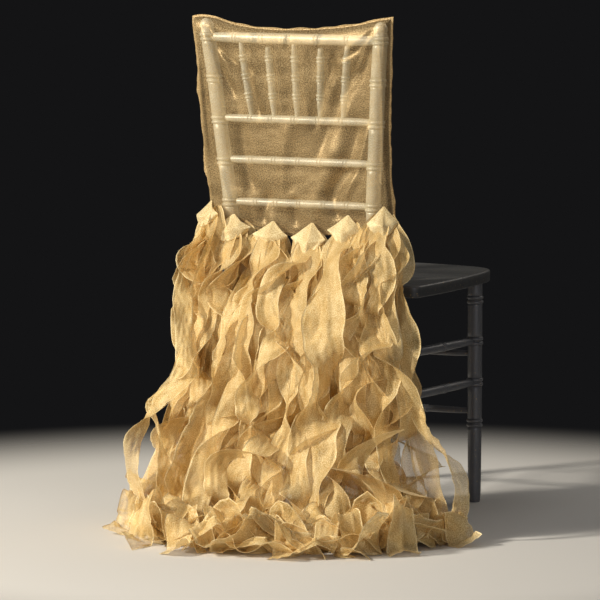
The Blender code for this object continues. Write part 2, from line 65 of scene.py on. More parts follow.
# A smooth curve through a table's rows, level beyond its ends
def readTable(table, key, value, at):
    rows = sorted(table, key=lambda row: row[key])
    if at <= rows[0][key]:
        return rows[0][value]
    if at >= rows[-1][key]:
        return rows[-1][value]
    i = max(k for k in range(len(rows) - 1) if rows[k][key] <= at)
    a, b = rows[i], rows[i + 1]
    before, after = rows[max(i - 1, 0)], rows[min(i + 2, len(rows) - 1)]
    span = b[key] - a[key]
    t = (at - a[key]) / span
    slopeA = (b[value] - before[value]) / (b[key] - before[key]) * span
    slopeB = (after[value] - a[value]) / (after[key] - a[key]) * span
    return (
        (2 * t**3 - 3 * t**2 + 1) * a[value]
        + (t**3 - 2 * t**2 + t) * slopeA
        + (-2 * t**3 + 3 * t**2) * b[value]
        + (t**3 - t**2) * slopeB
    )


# A smooth line through a few points, then the same line cut into even steps
def throughPoints(points, per):
    out = []
    last = len(points) - 1
    for i in range(last):
        a, b, c, d = points[max(i - 1, 0)], points[i], points[i + 1], points[min(i + 2, last)]
        for j in range(per):
            t = j / per
            square, cube = 2 * a - 5 * b + 4 * c - d, 3 * b - a - 3 * c + d
            out.append(0.5 * (2 * b + (c - a) * t + square * t * t + cube * t**3))
    out.append(points[last].copy())
    return out


def evenly(points, pitch):
    walk = [0.0]
    for a, b in zip(points, points[1:]):
        walk.append(walk[-1] + (b - a).length)
    count = max(int(walk[-1] / pitch), 4)
    out, k = [], 0
    for i in range(count + 1):
        s = walk[-1] * i / count
        while k < len(walk) - 2 and walk[k + 1] < s:
            k += 1
        t = (s - walk[k]) / max(walk[k + 1] - walk[k], 1e-9)
        out.append(points[k].lerp(points[k + 1], min(t, 1.0)))
    return out


def addNode(tree, kind, inputs=None, **settings):
    node = tree.nodes.new(kind)
    for key, value in settings.items():
        setattr(node, key, value)
    for key, value in (inputs or {}).items():
        if isinstance(value, bpy.types.NodeSocket):
            tree.links.new(value, node.inputs[key])
        else:
            node.inputs[key].default_value = value
    return node


def addPiece(name, mesh, nodes):
    piece = bpy.data.objects.new(name, mesh)
    bpy.context.scene.collection.objects.link(piece)
    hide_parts(*nodes)
    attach(piece, "root")
    return piece


# Cloth in the making: its points, faces, each point's place on the flat cloth (m), and how much it is an edge
def newCloth():
    return {"points": [], "faces": [], "cut": [], "rim": []}


def addGrid(cloth, grid, cut, rim, flip=False):
    base, wide = len(cloth["points"]), len(grid[0])
    for j, row in enumerate(grid):
        for i, p in enumerate(row):
            cloth["points"].append(tuple(p))
            cloth["cut"].append(cut[j][i])
            cloth["rim"].append(rim[j][i])
    for j in range(len(grid) - 1):
        for i in range(wide - 1):
            a = base + j * wide + i
            quad = (a, a + 1, a + 1 + wide, a + wide)
            cloth["faces"].append(quad[::-1] if flip else quad)


def clothPiece(name, cloth, material, node):
    mesh = bpy.data.meshes.new(name)
    mesh.from_pydata(cloth["points"], [], cloth["faces"])
    mesh.materials.append(material)
    layer = mesh.uv_layers.new(name="cut")
    flat = []
    for loop in mesh.loops:
        flat.extend(cloth["cut"][loop.vertex_index])
    layer.data.foreach_set("uv", flat)
    mark = mesh.attributes.new("rim", "FLOAT", "POINT")
    mark.data.foreach_set("value", cloth["rim"])
    mesh.shade_smooth()
    return addPiece(name, mesh, [node])


# Organza is a sheer plain weave of fine stiff filament, and these are dyed gold. One layer lets about half of
# what is behind it through, its threads glint as pale specks, and it is more solid and paler where it is
# folded, doubled or edged. The panels are a darker, silkier cloth than the cut ribbons, which have a dry glow.
# Its threads are about 0.5 mm apart. A pixel is 1.8 mm, so the weave is drawn at 0.6 mm and shows only close
# up, and the threads' glint is drawn coarser than it is, as specks of about 2 mm. The mottle is a cloudy
# change along the cloth in cover and tone: on the ribbons, patches of 33 x 56 mm of uneven tone; on the panels,
# slanting bands of 111 x 29 mm, painted shade and light of broad folds.
organzaLooks = {
    "panel": {
        "colour": "ac8544", "pale": "ffe9b8", "cover": 0.41, "weave": 0.04, "grain": 0.30, "mottleAndFoldShade": 0.22,
        "rim": 0.34, "mottleAndFoldShadeTone": 0.16, "edgePale": 0.04, "specks": perMetre(13, 25), "lean": 62,
        "stretch": (9.0, 34.0, 1.0), "glow": 0.12, "rough": 0.50, "metal": 0.40, "sheen": 0.20,
    },
    "ribbon": {
        "colour": "ddb258", "pale": "fff3c8", "cover": 0.63, "weave": 0.04, "grain": 0.26, "mottleAndFoldShade": 0.18,
        "rim": 0.42, "mottleAndFoldShadeTone": 0.36, "edgePale": 0.40, "specks": perMetre(14, 25), "lean": 20,
        "stretch": (30.0, 18.0, 1.0), "glow": 0.10, "rough": 0.64, "metal": 0.15, "sheen": 0.25,
    },
}
weave = {
    "threadPitch": 0.0006, "speckFrom": 0.42, "speckTo": 0.60, "mottleAndFoldShadeFrom": 0.3, "mottleAndFoldShadeTo": 0.7,
    "middle": 0.36, "glint": 0.55, "crumple": perMetre(4, 25), "crumpleDeep": 0.0003, "bump": 0.6,
    "sheenRough": 0.35, "sheenTint": "fff2d4",
}


def organza(name, look):
    made = bpy.data.materials.new(name)
    made.use_nodes = True
    tree = made.node_tree
    tree.nodes.clear()
    cut = addNode(tree, "ShaderNodeUVMap", uv_map="cut").outputs["UV"]
    rim = addNode(tree, "ShaderNodeAttribute", attribute_name="rim").outputs["Fac"]
    # Warp and weft
    split = addNode(tree, "ShaderNodeSeparateXYZ", {0: cut})
    waves = []
    for axis in (0, 1):
        turn = addNode(tree, "ShaderNodeMath", {0: split.outputs[axis], 1: fullTurn / weave["threadPitch"]},
                       operation="MULTIPLY")
        waves.append(addNode(tree, "ShaderNodeMath", {0: turn.outputs[0]}, operation="SINE").outputs[0])
    threads = addNode(tree, "ShaderNodeMath", {0: waves[0], 1: waves[1]}, operation="MAXIMUM").outputs[0]
    # The threads' glint, and the mottle along the cloth: uneven tone on the ribbons, painted fold shade on the
    # panels
    speckle = addNode(tree, "ShaderNodeTexNoise",
                      {"Vector": cut, "Scale": look["specks"], "Detail": 2.0, "Roughness": 0.7}).outputs[0]
    spark = addNode(tree, "ShaderNodeMapRange",
                    {0: speckle, 1: weave["speckFrom"], 2: weave["speckTo"], 3: -0.5, 4: 0.5}).outputs[0]
    # On the panels the mottle is slanted and stretched into bands of painted shade and light, as over broad
    # folds
    drawn = addNode(tree, "ShaderNodeMapping", {"Vector": cut, "Rotation": (0, 0, math.radians(look["lean"])),
                    "Scale": look["stretch"]}).outputs[0]
    cloud = addNode(tree, "ShaderNodeTexNoise",
                    {"Vector": drawn, "Scale": 1.0, "Detail": 3.0, "Roughness": 0.6}).outputs[0]
    mottleAndFoldShade = addNode(tree, "ShaderNodeMapRange",
                    {0: cloud, 1: weave["mottleAndFoldShadeFrom"], 2: weave["mottleAndFoldShadeTo"], 3: -0.5, 4: 0.5}).outputs[0]
    # How much of what is behind it the cloth covers, and how pale it is
    cover = look["cover"]
    for part, share in ((threads, "weave"), (spark, "grain"), (mottleAndFoldShade, "mottleAndFoldShade"), (rim, "rim")):
        cover = addNode(tree, "ShaderNodeMath", {0: part, 1: look[share], 2: cover}, operation="MULTIPLY_ADD",
                        use_clamp=part is rim).outputs[0]
    shade = weave["middle"]
    for part, share in ((spark, weave["glint"]), (mottleAndFoldShade, look["mottleAndFoldShadeTone"]), (rim, look["edgePale"])):
        shade = addNode(tree, "ShaderNodeMath", {0: part, 1: share, 2: shade}, operation="MULTIPLY_ADD",
                        use_clamp=True).outputs[0]
    colour = addNode(tree, "ShaderNodeMix", {0: shade, 6: linear(look["colour"]), 7: linear(look["pale"])},
                     data_type="RGBA").outputs[2]
    crumpled = addNode(tree, "ShaderNodeTexNoise", {"Vector": cut, "Scale": weave["crumple"], "Detail": 3.0,
                       "Roughness": 0.55, "Distortion": 0.6}).outputs[0]
    bump = addNode(tree, "ShaderNodeBump", {"Strength": weave["bump"], "Distance": weave["crumpleDeep"],
                   "Height": crumpled}).outputs[0]
    skin = addNode(tree, "ShaderNodeBsdfPrincipled", {
        "Base Color": colour, "Roughness": look["rough"], "Metallic": look["metal"],
        "Sheen Weight": look["sheen"], "Sheen Roughness": weave["sheenRough"],
        "Sheen Tint": linear(weave["sheenTint"]), "Normal": bump})
    behind = addNode(tree, "ShaderNodeBsdfTranslucent", {"Color": colour, "Normal": bump})
    cloth = addNode(tree, "ShaderNodeMixShader", {0: look["glow"], 1: skin.outputs[0], 2: behind.outputs[0]})
    clear = addNode(tree, "ShaderNodeBsdfTransparent")
    whole = addNode(tree, "ShaderNodeMixShader", {0: cover, 1: clear.outputs[0], 2: cloth.outputs[0]})
    addNode(tree, "ShaderNodeOutputMaterial", {0: whole.outputs[0]})
    return made


# Turned beech, sprayed with silver lacquer: a satin skin with long soft highlights, a trace of the grain and
# small golden rubbed spots. It shows pale on the back, and darker on the legs and the seat, as in the photo.
# That darker colour low down is painted shade; the lacquer is the same pale silver all over.
# Beech grain is 0.1 to 0.3 mm wide, too fine to show, so it is drawn coarser, as streaks 1.4 mm wide and 28 mm
# long. The rubbed spots are about 3 mm, and the uneven spraying changes over 22 mm.
woodLooks = {
    "upright": {"grain": (1.0, 1.0, 0.05), "pale": "ece8cf", "paintedShade": "6a6b6e", "rough": 0.44},
    "across": {"grain": (0.05, 1.0, 1.0), "pale": "eeead2", "paintedShade": "646568", "rough": 0.44},
    "deep": {"grain": (1.0, 0.05, 1.0), "pale": "e8e4cc", "paintedShade": "6a6b6e", "rough": 0.44},
    "seat": {"grain": (1.0, 0.06, 1.0), "pale": "c8c6c0", "paintedShade": "424344", "rough": 0.46},
}
# The first two heights (m) are where the painted shade of the legs and the seat fades into the pale silver
finish = {
    "shadeFadeFrom": 0.43, "shadeFadeTo": 0.52, "noiseLow": 0.3, "noiseHigh": 0.7, "streaks": perMetre(7, 10),
    "patches": perMetre(9, 200), "spots": perMetre(33, 100), "toneLow": 0.82, "toneHigh": 1.12,
    "spotFrom": 0.70, "spotTo": 0.74,
    "spotShare": 0.55, "spotColour": "d8b878", "smoother": 0.07, "rougher": 0.10,
    "bump": 0.35, "bumpDeep": 0.0003, "metal": 0.20, "coat": 0.12, "coatRough": 0.25,
}


def lacquer(name, look):
    made = bpy.data.materials.new(name)
    made.use_nodes = True
    tree = made.node_tree
    skin = tree.nodes["Principled BSDF"]
    place = addNode(tree, "ShaderNodeTexCoord").outputs["Object"]
    height = addNode(tree, "ShaderNodeSeparateXYZ", {0: place}).outputs[2]
    # Painted shade: below 0.52 m the pale silver turns towards the darker colour, fully dark below 0.43 m
    lift = addNode(tree, "ShaderNodeMapRange",
                   {0: height, 1: finish["shadeFadeFrom"], 2: finish["shadeFadeTo"], 3: 0.0, 4: 1.0}).outputs[0]
    along = addNode(tree, "ShaderNodeVectorMath", {0: place, 1: look["grain"]}, operation="MULTIPLY").outputs[0]
    brush = addNode(tree, "ShaderNodeTexNoise",
                    {"Vector": along, "Scale": finish["streaks"], "Detail": 3.0, "Roughness": 0.6}).outputs[0]
    patch = addNode(tree, "ShaderNodeTexNoise",
                    {"Vector": place, "Scale": finish["patches"], "Detail": 3.0}).outputs[0]
    fleck = addNode(tree, "ShaderNodeTexNoise",
                    {"Vector": place, "Scale": finish["spots"], "Detail": 1.0}).outputs[0]
    base = addNode(tree, "ShaderNodeMix", {0: lift, 6: linear(look["paintedShade"]), 7: linear(look["pale"])},
                   data_type="RGBA").outputs[2]
    tone = addNode(tree, "ShaderNodeMapRange",
                   {0: brush, 1: finish["noiseLow"], 2: finish["noiseHigh"], 3: finish["toneLow"],
                    4: finish["toneHigh"]}).outputs[0]
    shaded = addNode(tree, "ShaderNodeVectorMath", {0: base, 3: tone}, operation="SCALE").outputs[0]
    golden = addNode(tree, "ShaderNodeMapRange",
                     {0: fleck, 1: finish["spotFrom"], 2: finish["spotTo"], 4: finish["spotShare"]}).outputs[0]
    colour = addNode(tree, "ShaderNodeMix", {0: golden, 6: shaded, 7: linear(finish["spotColour"])},
                     data_type="RGBA").outputs[2]
    rough = addNode(tree, "ShaderNodeMapRange",
                    {0: patch, 1: finish["noiseLow"], 2: finish["noiseHigh"],
                     3: look["rough"] - finish["smoother"], 4: look["rough"] + finish["rougher"]}).outputs[0]
    bump = addNode(tree, "ShaderNodeBump",
                   {"Strength": finish["bump"], "Distance": finish["bumpDeep"], "Height": brush}).outputs[0]
    for key, value in {"Base Color": colour, "Roughness": rough, "Normal": bump}.items():
        tree.links.new(value, skin.inputs[key])
    skin.inputs["Metallic"].default_value = finish["metal"]
    skin.inputs["Coat Weight"].default_value = finish["coat"]
    skin.inputs["Coat Roughness"].default_value = finish["coatRough"]
    return made


panelCloth = organza("golden_organza_sheer_weave", organzaLooks["panel"])
ribbonCloth = organza("golden_organza_cut_ribbon", organzaLooks["ribbon"])
lacquers = {key: lacquer(f"silver_lacquered_beech_{key}", look) for key, look in woodLooks.items()}
print("stage: materials")


# Chair: the sizes of part.py, with finer turning

chair = {
    "seatTop": 0.440, "seatThick": 0.022, "postRadius": 0.0135, "finialTop": 0.915, "ringTop": 0.8806,
    "ringPitch": 0.0757, "backRings": 5, "legX": 0.1905, "legY": 0.334,
    "legRings": (0.3806, 0.3035, 0.2264, 0.1493), "crossHigh": 0.279, "crossLow": 0.171, "tenon": 0.003,
}
turning = {"postSides": 36, "barSides": 28, "crisp": 60, "coarse": 0.012, "fine": 0.0005, "reach": 1.25,
           "valley": 0.0008}
# Pairs of half-round beads: half the width of one, how proud it stands, and half the distance between the two
beads = {
    "post": {"half": 0.0030, "proud": 0.0021, "apart": 0.0042},
    "rail": {"half": 0.0021, "proud": 0.0008, "apart": 0.0031},
    "spindle": {"half": 0.0026, "proud": 0.0018, "apart": 0.0036},
    "cross": {"half": 0.0022, "proud": 0.0009, "apart": 0.0032},
    "side": {"half": 0.0023, "proud": 0.0009, "apart": 0.0033},
}
rearPost = (
    {"z": 0.000, "x": 0.188, "y": -0.0450},
    {"z": 0.155, "x": 0.173, "y": -0.0270},
    {"z": 0.300, "x": 0.156, "y": -0.0100},
    {"z": 0.440, "x": 0.1445, "y": -0.0020},
    {"z": 0.578, "x": 0.1440, "y": -0.0147},
    {"z": 0.653, "x": 0.1505, "y": -0.0227},
    {"z": 0.729, "x": 0.1575, "y": -0.0308},
    {"z": 0.805, "x": 0.1640, "y": -0.0389},
    {"z": 0.881, "x": 0.1725, "y": -0.0470},
    {"z": 0.915, "x": 0.1748, "y": -0.0506},
)
rails = (
    {"node": "top_rail", "ring": 0, "lift": 0.000, "radius": 0.0095,
     "beads": (-0.118, -0.0635, -0.009, 0.047, 0.107)},
    {"node": "rail_2", "ring": 2, "lift": 0.004, "radius": 0.0072,
     "beads": (-0.095, -0.054, -0.008, 0.041, 0.088)},
    {"node": "rail_3", "ring": 3, "lift": 0.004, "radius": 0.0072,
     "beads": (-0.0975, -0.051, -0.002, 0.040, 0.092)},
    {"node": "rail_4", "ring": 4, "lift": 0.002, "radius": 0.0072,
     "beads": (-0.092, -0.051, -0.005, 0.045, 0.0915)},
)
spindles = {"count": 5, "pitchTop": 0.0535, "pitchLow": 0.0460, "rings": (0.28, 0.53, 0.78)}


def postCentre(side, z):
    return Vector((side * readTable(rearPost, "z", "x", z), readTable(rearPost, "z", "y", z), z))


def railHeight(rail):
    return chair["ringTop"] - chair["ringPitch"] * rail["ring"] + rail["lift"]


# A turned outline along a length: the base radius, with pairs of beads and a shallow valley at each bead's foot
def turnedOutline(base, pairs, bead):
    places = set()
    start, end = base[0]["at"], base[-1]["at"]
    steps = max(int((end - start) / turning["coarse"]), 2)
    places.update(round(start + (end - start) * i / steps, 6) for i in range(steps + 1))
    places.update(round(row["at"], 6) for row in base)
    centres = [pair + sign * bead["apart"] for pair in pairs for sign in (-1, 1)]
    for centre in centres:
        reach = bead["half"] * turning["reach"]
        n = int(2 * reach / turning["fine"])
        places.update(round(centre - reach + 2 * reach * i / n, 6) for i in range(n + 1))
    rows = []
    for at in sorted(p for p in places if start <= p <= end):
        radius = readTable(base, "at", "radius", at)
        for centre in centres:
            off = abs(at - centre) / bead["half"]
            if off < 1:
                radius += bead["proud"] * math.sqrt(1 - off * off)
            elif off < turning["reach"]:
                radius -= turning["valley"] * math.sin(math.pi * (off - 1) / (turning["reach"] - 1))
        rows.append((at, radius))
    return rows


# A closed wooden piece from rings of points
def woodPiece(name, rings, wood, crisp, node):
    around = len(rings[0])
    faces = []
    for j in range(len(rings) - 1):
        for i in range(around):
            a, b = j * around + i, j * around + (i + 1) % around
            faces.append((a, b, b + around, a + around))
    faces.append(tuple(range(around))[::-1])
    faces.append(tuple((len(rings) - 1) * around + i for i in range(around)))
    mesh = bpy.data.meshes.new(name)
    mesh.from_pydata([tuple(p) for ring in rings for p in ring], [], faces)
    mesh.materials.append(lacquers[wood])
    mesh.shade_smooth()
    mesh.set_sharp_from_angle(angle=math.radians(crisp))
    return addPiece(name, mesh, [node])


def turnedPiece(node, centreAt, rows, wood, sideways, sides):
    one, two = sideways
    turns = [fullTurn * i / sides for i in range(sides)]
    rings = []
    for at, radius in rows:
        centre = centreAt(at)
        rings.append([centre + one * (radius * math.cos(t)) + two * (radius * math.sin(t)) for t in turns])
    woodPiece(node + "_turned", rings, wood, turning["crisp"], node)


def buildUpright(node, centreAt, base, pairs):
    rows = turnedOutline([{"at": at, "radius": r} for at, r in base], pairs, beads["post"])
    turnedPiece(node, centreAt, rows, "upright", (Vector((1, 0, 0)), Vector((0, 1, 0))), turning["postSides"])


def buildBar(node, start, end, base, pairs, wood, bead):
    length = (end - start).length
    along = (end - start).normalized()
    table = [{"at": at * length, "radius": r} for at, r in base]
    rows = turnedOutline(table, [p * length for p in pairs], beads[bead])
    side = along.cross(up) if abs(along.z) < 0.9 else Vector((1, 0, 0))
    side = (side - along * side.dot(along)).normalized()
    sideways = (side, along.cross(side).normalized())
    turnedPiece(node, lambda at: start + along * at, rows, wood, sideways, turning["barSides"])


def buildChair():
    radius = chair["postRadius"]
    backRings = [chair["ringTop"] - chair["ringPitch"] * k for k in range(chair["backRings"])]
    rear = ((0, 0.0105), (0.004, 0.0115), (0.02, 0.0120), (0.10, 0.0130), (0.30, 0.0134), (0.44, radius),
            (0.52, radius), (0.80, radius), (0.8896, 0.0131), (0.8950, 0.0116), (0.9010, 0.0128),
            (0.9060, 0.0119), (0.9105, 0.0094), (0.9135, 0.0060), (chair["finialTop"], 0.0012))
    for side, node in ((-1, "rear_post_left"), (1, "rear_post_right")):
        buildUpright(node, lambda z, side=side: postCentre(side, z), rear, list(chair["legRings"]) + backRings)
    legTop = chair["seatTop"] - chair["seatThick"]
    front = ((0, 0.0098), (0.004, 0.0108), (0.02, 0.0118), (0.10, 0.0128), (0.30, radius), (legTop, radius))
    for side, node in ((-1, "front_leg_left"), (1, "front_leg_right")):
        buildUpright(node, lambda z, side=side: Vector((side * chair["legX"], chair["legY"], z)), front,
                     chair["legRings"])
    # Rails between the posts: their rings stand where the photo shows them
    hold = radius - chair["tenon"]
    for rail in rails:
        z, r = railHeight(rail), rail["radius"]
        start, end = postCentre(-1, z) + Vector((hold, 0, 0)), postCentre(1, z) - Vector((hold, 0, 0))
        length = end.x - start.x
        base = ((0.0, r * 0.80), (0.04, r * 0.92), (0.10, r), (0.90, r), (0.96, r * 0.92), (1.0, r * 0.80))
        pairs = [(x - start.x) / length for x in rail["beads"]]
        buildBar(rail["node"], start, end, base, pairs, "across", "rail")
    high = railHeight(rails[0]) - rails[0]["radius"] + chair["tenon"]
    low = railHeight(rails[1]) + rails[1]["radius"] - chair["tenon"]
    slim = ((0.0, 0.0040), (0.06, 0.0044), (0.20, 0.0060), (0.50, 0.0064), (0.80, 0.0062), (0.93, 0.0046),
            (1.0, 0.0040))
    for k in range(spindles["count"]):
        place = k - (spindles["count"] - 1) / 2
        foot = Vector((place * spindles["pitchLow"], postCentre(1, low).y, low))
        head = Vector((place * spindles["pitchTop"], postCentre(1, high).y, high))
        buildBar(f"spindle_{k + 1}", foot, head, slim, spindles["rings"], "upright", "spindle")
    # Stretchers: thin ones across, thicker ones from back to front
    thin = ((0.0, 0.0046), (0.10, 0.0060), (0.5, 0.0062), (0.9, 0.0060), (1.0, 0.0046))
    thick = ((0.0, 0.0056), (0.10, 0.0073), (0.5, 0.0080), (0.9, 0.0073), (1.0, 0.0056))
    legs = [Vector((side * chair["legX"], chair["legY"], 0)) for side in (-1, 1)]
    off = Vector((hold, 0, 0))
    for z, level in ((chair["crossHigh"], "upper"), (chair["crossLow"], "lower")):
        lifted = [leg + up * z for leg in legs]
        posts = [postCentre(-1, z), postCentre(1, z)]
        for word, ends in (("front", lifted), ("back", posts)):
            start, end = ends[0] + off, ends[1] - off
            buildBar(f"{word}_stretcher_{level}", start, end, thin, (0.25, 0.75), "across", "cross")
    for z, level in ((chair["legRings"][1], "upper"), (chair["legRings"][2], "lower")):
        for side, word in ((-1, "left"), (1, "right")):
            start, end = postCentre(side, z), legs[(side + 1) // 2] + up * z
            tenon = (end - start).normalized() * hold
            start, end = start + tenon, end - tenon
            buildBar(f"side_stretcher_{word}_{level}", start, end, thick, (0.33, 0.66), "deep", "side")


# Seat: its right half, from the notch behind the back to the front edge
seatOutline = (
    (0.060, 0.0125), (0.1590, 0.0125), (0.1598, -0.0150), (0.222, -0.0180), (0.233, -0.0080), (0.239, 0.068),
    (0.241, 0.151), (0.239, 0.217), (0.235, 0.280), (0.229, 0.318), (0.213, 0.345), (0.180, 0.361),
    (0.134, 0.371), (0.060, 0.380),
)
seat = {
    "edge": 0.0045, "under": 0.7, "notch": 0.0035, "cornerSteps": 6, "lowSteps": 4, "highSteps": 6,
    "dipFrom": 0.009, "dipTo": 0.011, "dip": 0.0003, "crisp": 40,
}


def seatRing():
    right = [Vector((x, y, 0)) for x, y in seatOutline]
    corners = right + [Vector((-p.x, p.y, 0)) for p in reversed(right)]
    ring = []
    for i, p in enumerate(corners):
        before, after = corners[i - 1], corners[(i + 1) % len(corners)]
        inNotch = p.y < 0.02 and abs(p.x) < 0.2
        room = 0.5 * min((p - before).length, (after - p).length)
        cut = min(seat["notch"], room) if inNotch else room
        a, b = p + (before - p).normalized() * cut, p + (after - p).normalized() * cut
        steps = seat["cornerSteps"]
        for k in range(steps):
            t = k / (steps - 1) if cut < room else k / steps
            ring.append(a * (1 - t) ** 2 + p * (2 * t * (1 - t)) + b * t * t)
    return ring


def buildSeat():
    ring, edge = seatRing(), seat["edge"]
    bottom, top = chair["seatTop"] - chair["seatThick"], chair["seatTop"]
    # How far in from the outline, and how high: a small round below, a fuller one above, then the flat top
    rows = []
    for k in range(seat["lowSteps"] + 1):
        turn = math.pi / 2 * k / seat["lowSteps"]
        low = edge * seat["under"] * (1 - math.cos(turn))
        rows.append((edge * (1 - math.sin(turn)) * seat["under"], bottom + low))
    for k in range(seat["highSteps"] + 1):
        turn = math.pi / 2 * k / seat["highSteps"]
        rows.append((edge * (1 - math.cos(turn)), top - edge + edge * math.sin(turn)))
    rows += [(seat["dipFrom"], top), (seat["dipTo"], top - seat["dip"])]
    normals = []
    for i in range(len(ring)):
        tangent = ring[(i + 1) % len(ring)] - ring[i - 1]
        normals.append(Vector((tangent.y, -tangent.x, 0)).normalized())
    rings = [[p - normal * inset + up * z for p, normal in zip(ring, normals)] for inset, z in rows]
    woodPiece("seat_board", rings, "seat", seat["crisp"], "seat")


buildChair()
buildSeat()
print("stage: chair")


# Cover: the panel surface of part.py, with its finer creases on top

cover = {
    "cloth": 0.0015, "standOff": 0.0185, "seamWidth": 0.004, "seamLeaf": 0.0009, "shoulder": 0.026,
    "hemLow": 0.522, "hemRise": 0.047, "hemHalf": 0.200, "flatColumns": 96, "arcColumns": 12, "rows": 86,
    "creaseDepth": 2.3,
    "cornerPower": 2.5,
}
sideSeams = (
    {"z": 0.50, "left": 0.182, "right": 0.186},
    {"z": 0.57, "left": 0.186, "right": 0.187},
    {"z": 0.62, "left": 0.190, "right": 0.184},
    {"z": 0.67, "left": 0.194, "right": 0.185},
    {"z": 0.73, "left": 0.196, "right": 0.186},
    {"z": 0.79, "left": 0.198, "right": 0.191},
    {"z": 0.85, "left": 0.199, "right": 0.194},
    {"z": 0.90, "left": 0.203, "right": 0.198},
    {"z": 0.93, "left": 0.203, "right": 0.199},
)
topSeam = (
    {"x": -0.204, "z": 0.9180},
    {"x": -0.190, "z": 0.9205},
    {"x": -0.172, "z": 0.9205},
    {"x": -0.150, "z": 0.9165},
    {"x": -0.115, "z": 0.907},
    {"x": -0.060, "z": 0.9005},
    {"x": 0.000, "z": 0.9000},
    {"x": 0.060, "z": 0.9030},
    {"x": 0.120, "z": 0.9100},
    {"x": 0.172, "z": 0.9205},
    {"x": 0.199, "z": 0.9250},
)
mainFolds = (
    {"from": (-0.160, 0.885), "to": (-0.105, 0.800), "height": 0.0050, "half": 0.016},
    {"from": (0.165, 0.895), "to": (0.090, 0.835), "height": 0.0045, "half": 0.016},
    {"from": (0.095, 0.690), "to": (0.040, 0.565), "height": 0.0050, "half": 0.024},
    {"from": (-0.120, 0.600), "to": (-0.040, 0.540), "height": 0.0045, "half": 0.018},
    {"from": (-0.010, 0.600), "to": (0.030, 0.540), "height": 0.0045, "half": 0.018},
)
# Creases of the ribbon side: their two ends, height (below 0 is a trough), half width and bow
backCreases = (
    {"from": (-0.166, 0.893), "to": (-0.112, 0.836), "height": -0.0030, "half": 0.0040, "bow": 0.004},
    {"from": (-0.158, 0.897), "to": (-0.128, 0.872), "height": 0.0022, "half": 0.0035, "bow": 0.002},
    {"from": (-0.170, 0.886), "to": (-0.140, 0.790), "height": 0.0022, "half": 0.0050, "bow": -0.003},
    {"from": (-0.150, 0.860), "to": (-0.118, 0.780), "height": -0.0030, "half": 0.0070, "bow": 0.004},
    {"from": (-0.096, 0.825), "to": (-0.070, 0.742), "height": -0.0032, "half": 0.0090, "bow": -0.004},
    {"from": (0.165, 0.898), "to": (0.108, 0.850), "height": -0.0030, "half": 0.0040, "bow": -0.006},
    {"from": (0.160, 0.885), "to": (0.132, 0.828), "height": 0.0024, "half": 0.0045, "bow": -0.003},
    {"from": (0.140, 0.835), "to": (0.048, 0.680), "height": -0.0042, "half": 0.0140, "bow": 0.008},
    {"from": (0.090, 0.850), "to": (0.040, 0.720), "height": -0.0036, "half": 0.0110, "bow": 0.003},
    {"from": (0.124, 0.655), "to": (0.060, 0.592), "height": -0.0040, "half": 0.0120, "bow": 0.005},
    {"from": (0.128, 0.730), "to": (0.070, 0.600), "height": -0.0044, "half": 0.0130, "bow": -0.004},
    {"from": (0.150, 0.720), "to": (0.100, 0.600), "height": 0.0028, "half": 0.0070, "bow": -0.006},
    {"from": (-0.010, 0.720), "to": (-0.028, 0.580), "height": 0.0022, "half": 0.0120, "bow": 0.004},
    {"from": (-0.105, 0.720), "to": (-0.092, 0.610), "height": -0.0028, "half": 0.0120, "bow": 0.004},
    {"from": (-0.055, 0.598), "to": (-0.070, 0.548), "height": -0.0038, "half": 0.0100, "bow": 0.002},
    {"from": (-0.002, 0.590), "to": (-0.006, 0.545), "height": -0.0036, "half": 0.0090, "bow": 0.001},
    {"from": (0.070, 0.600), "to": (0.078, 0.560), "height": -0.0036, "half": 0.0100, "bow": 0.002},
    {"from": (-0.150, 0.640), "to": (-0.128, 0.565), "height": 0.0026, "half": 0.0060, "bow": 0.003},
    {"from": (0.188, 0.880), "to": (0.178, 0.600), "height": 0.0026, "half": 0.0030, "bow": 0.003},
    {"from": (0.180, 0.860), "to": (0.170, 0.620), "height": 0.0018, "half": 0.0030, "bow": -0.003},
    {"from": (-0.192, 0.870), "to": (-0.180, 0.610), "height": 0.0026, "half": 0.0034, "bow": -0.004},
    {"from": (-0.184, 0.830), "to": (-0.172, 0.640), "height": 0.0018, "half": 0.0030, "bow": 0.003},
    {"from": (-0.080, 0.899), "to": (-0.072, 0.872), "height": 0.0016, "half": 0.0050, "bow": 0.001},
    {"from": (-0.010, 0.896), "to": (-0.012, 0.868), "height": 0.0018, "half": 0.0040, "bow": 0.001},
    {"from": (0.055, 0.899), "to": (0.050, 0.872), "height": 0.0014, "half": 0.0050, "bow": -0.001},
)
frontCreases = (
    {"from": (-0.160, 0.895), "to": (-0.100, 0.820), "height": 0.0030, "half": 0.0060, "bow": 0.004},
    {"from": (0.162, 0.895), "to": (0.105, 0.810), "height": 0.0030, "half": 0.0060, "bow": -0.005},
    {"from": (0.110, 0.760), "to": (0.030, 0.600), "height": -0.0040, "half": 0.0140, "bow": 0.006},
    {"from": (-0.120, 0.740), "to": (-0.060, 0.590), "height": -0.0036, "half": 0.0130, "bow": -0.005},
    {"from": (-0.010, 0.860), "to": (0.012, 0.690), "height": 0.0026, "half": 0.0120, "bow": 0.004},
    {"from": (0.150, 0.680), "to": (0.120, 0.570), "height": 0.0028, "half": 0.0070, "bow": 0.003},
)
# Fine crumple all over the panels, and the wander of the sewn edges: height and marks per metre
crumple = {"tall": 0.0016, "scale": 20.0, "fine": 0.0007, "fineScale": 70.0}
sewnEdge = {
    "wander": 0.0040, "wanderScale": 21, "ruffle": 0.0012, "ruffleScale": 75,
    "topWander": 0.0024, "topScale": 34, "ripple": 0.0004, "rippleScale": 260,
    "topBand": 0.005, "hemBand": 0.0045,
}
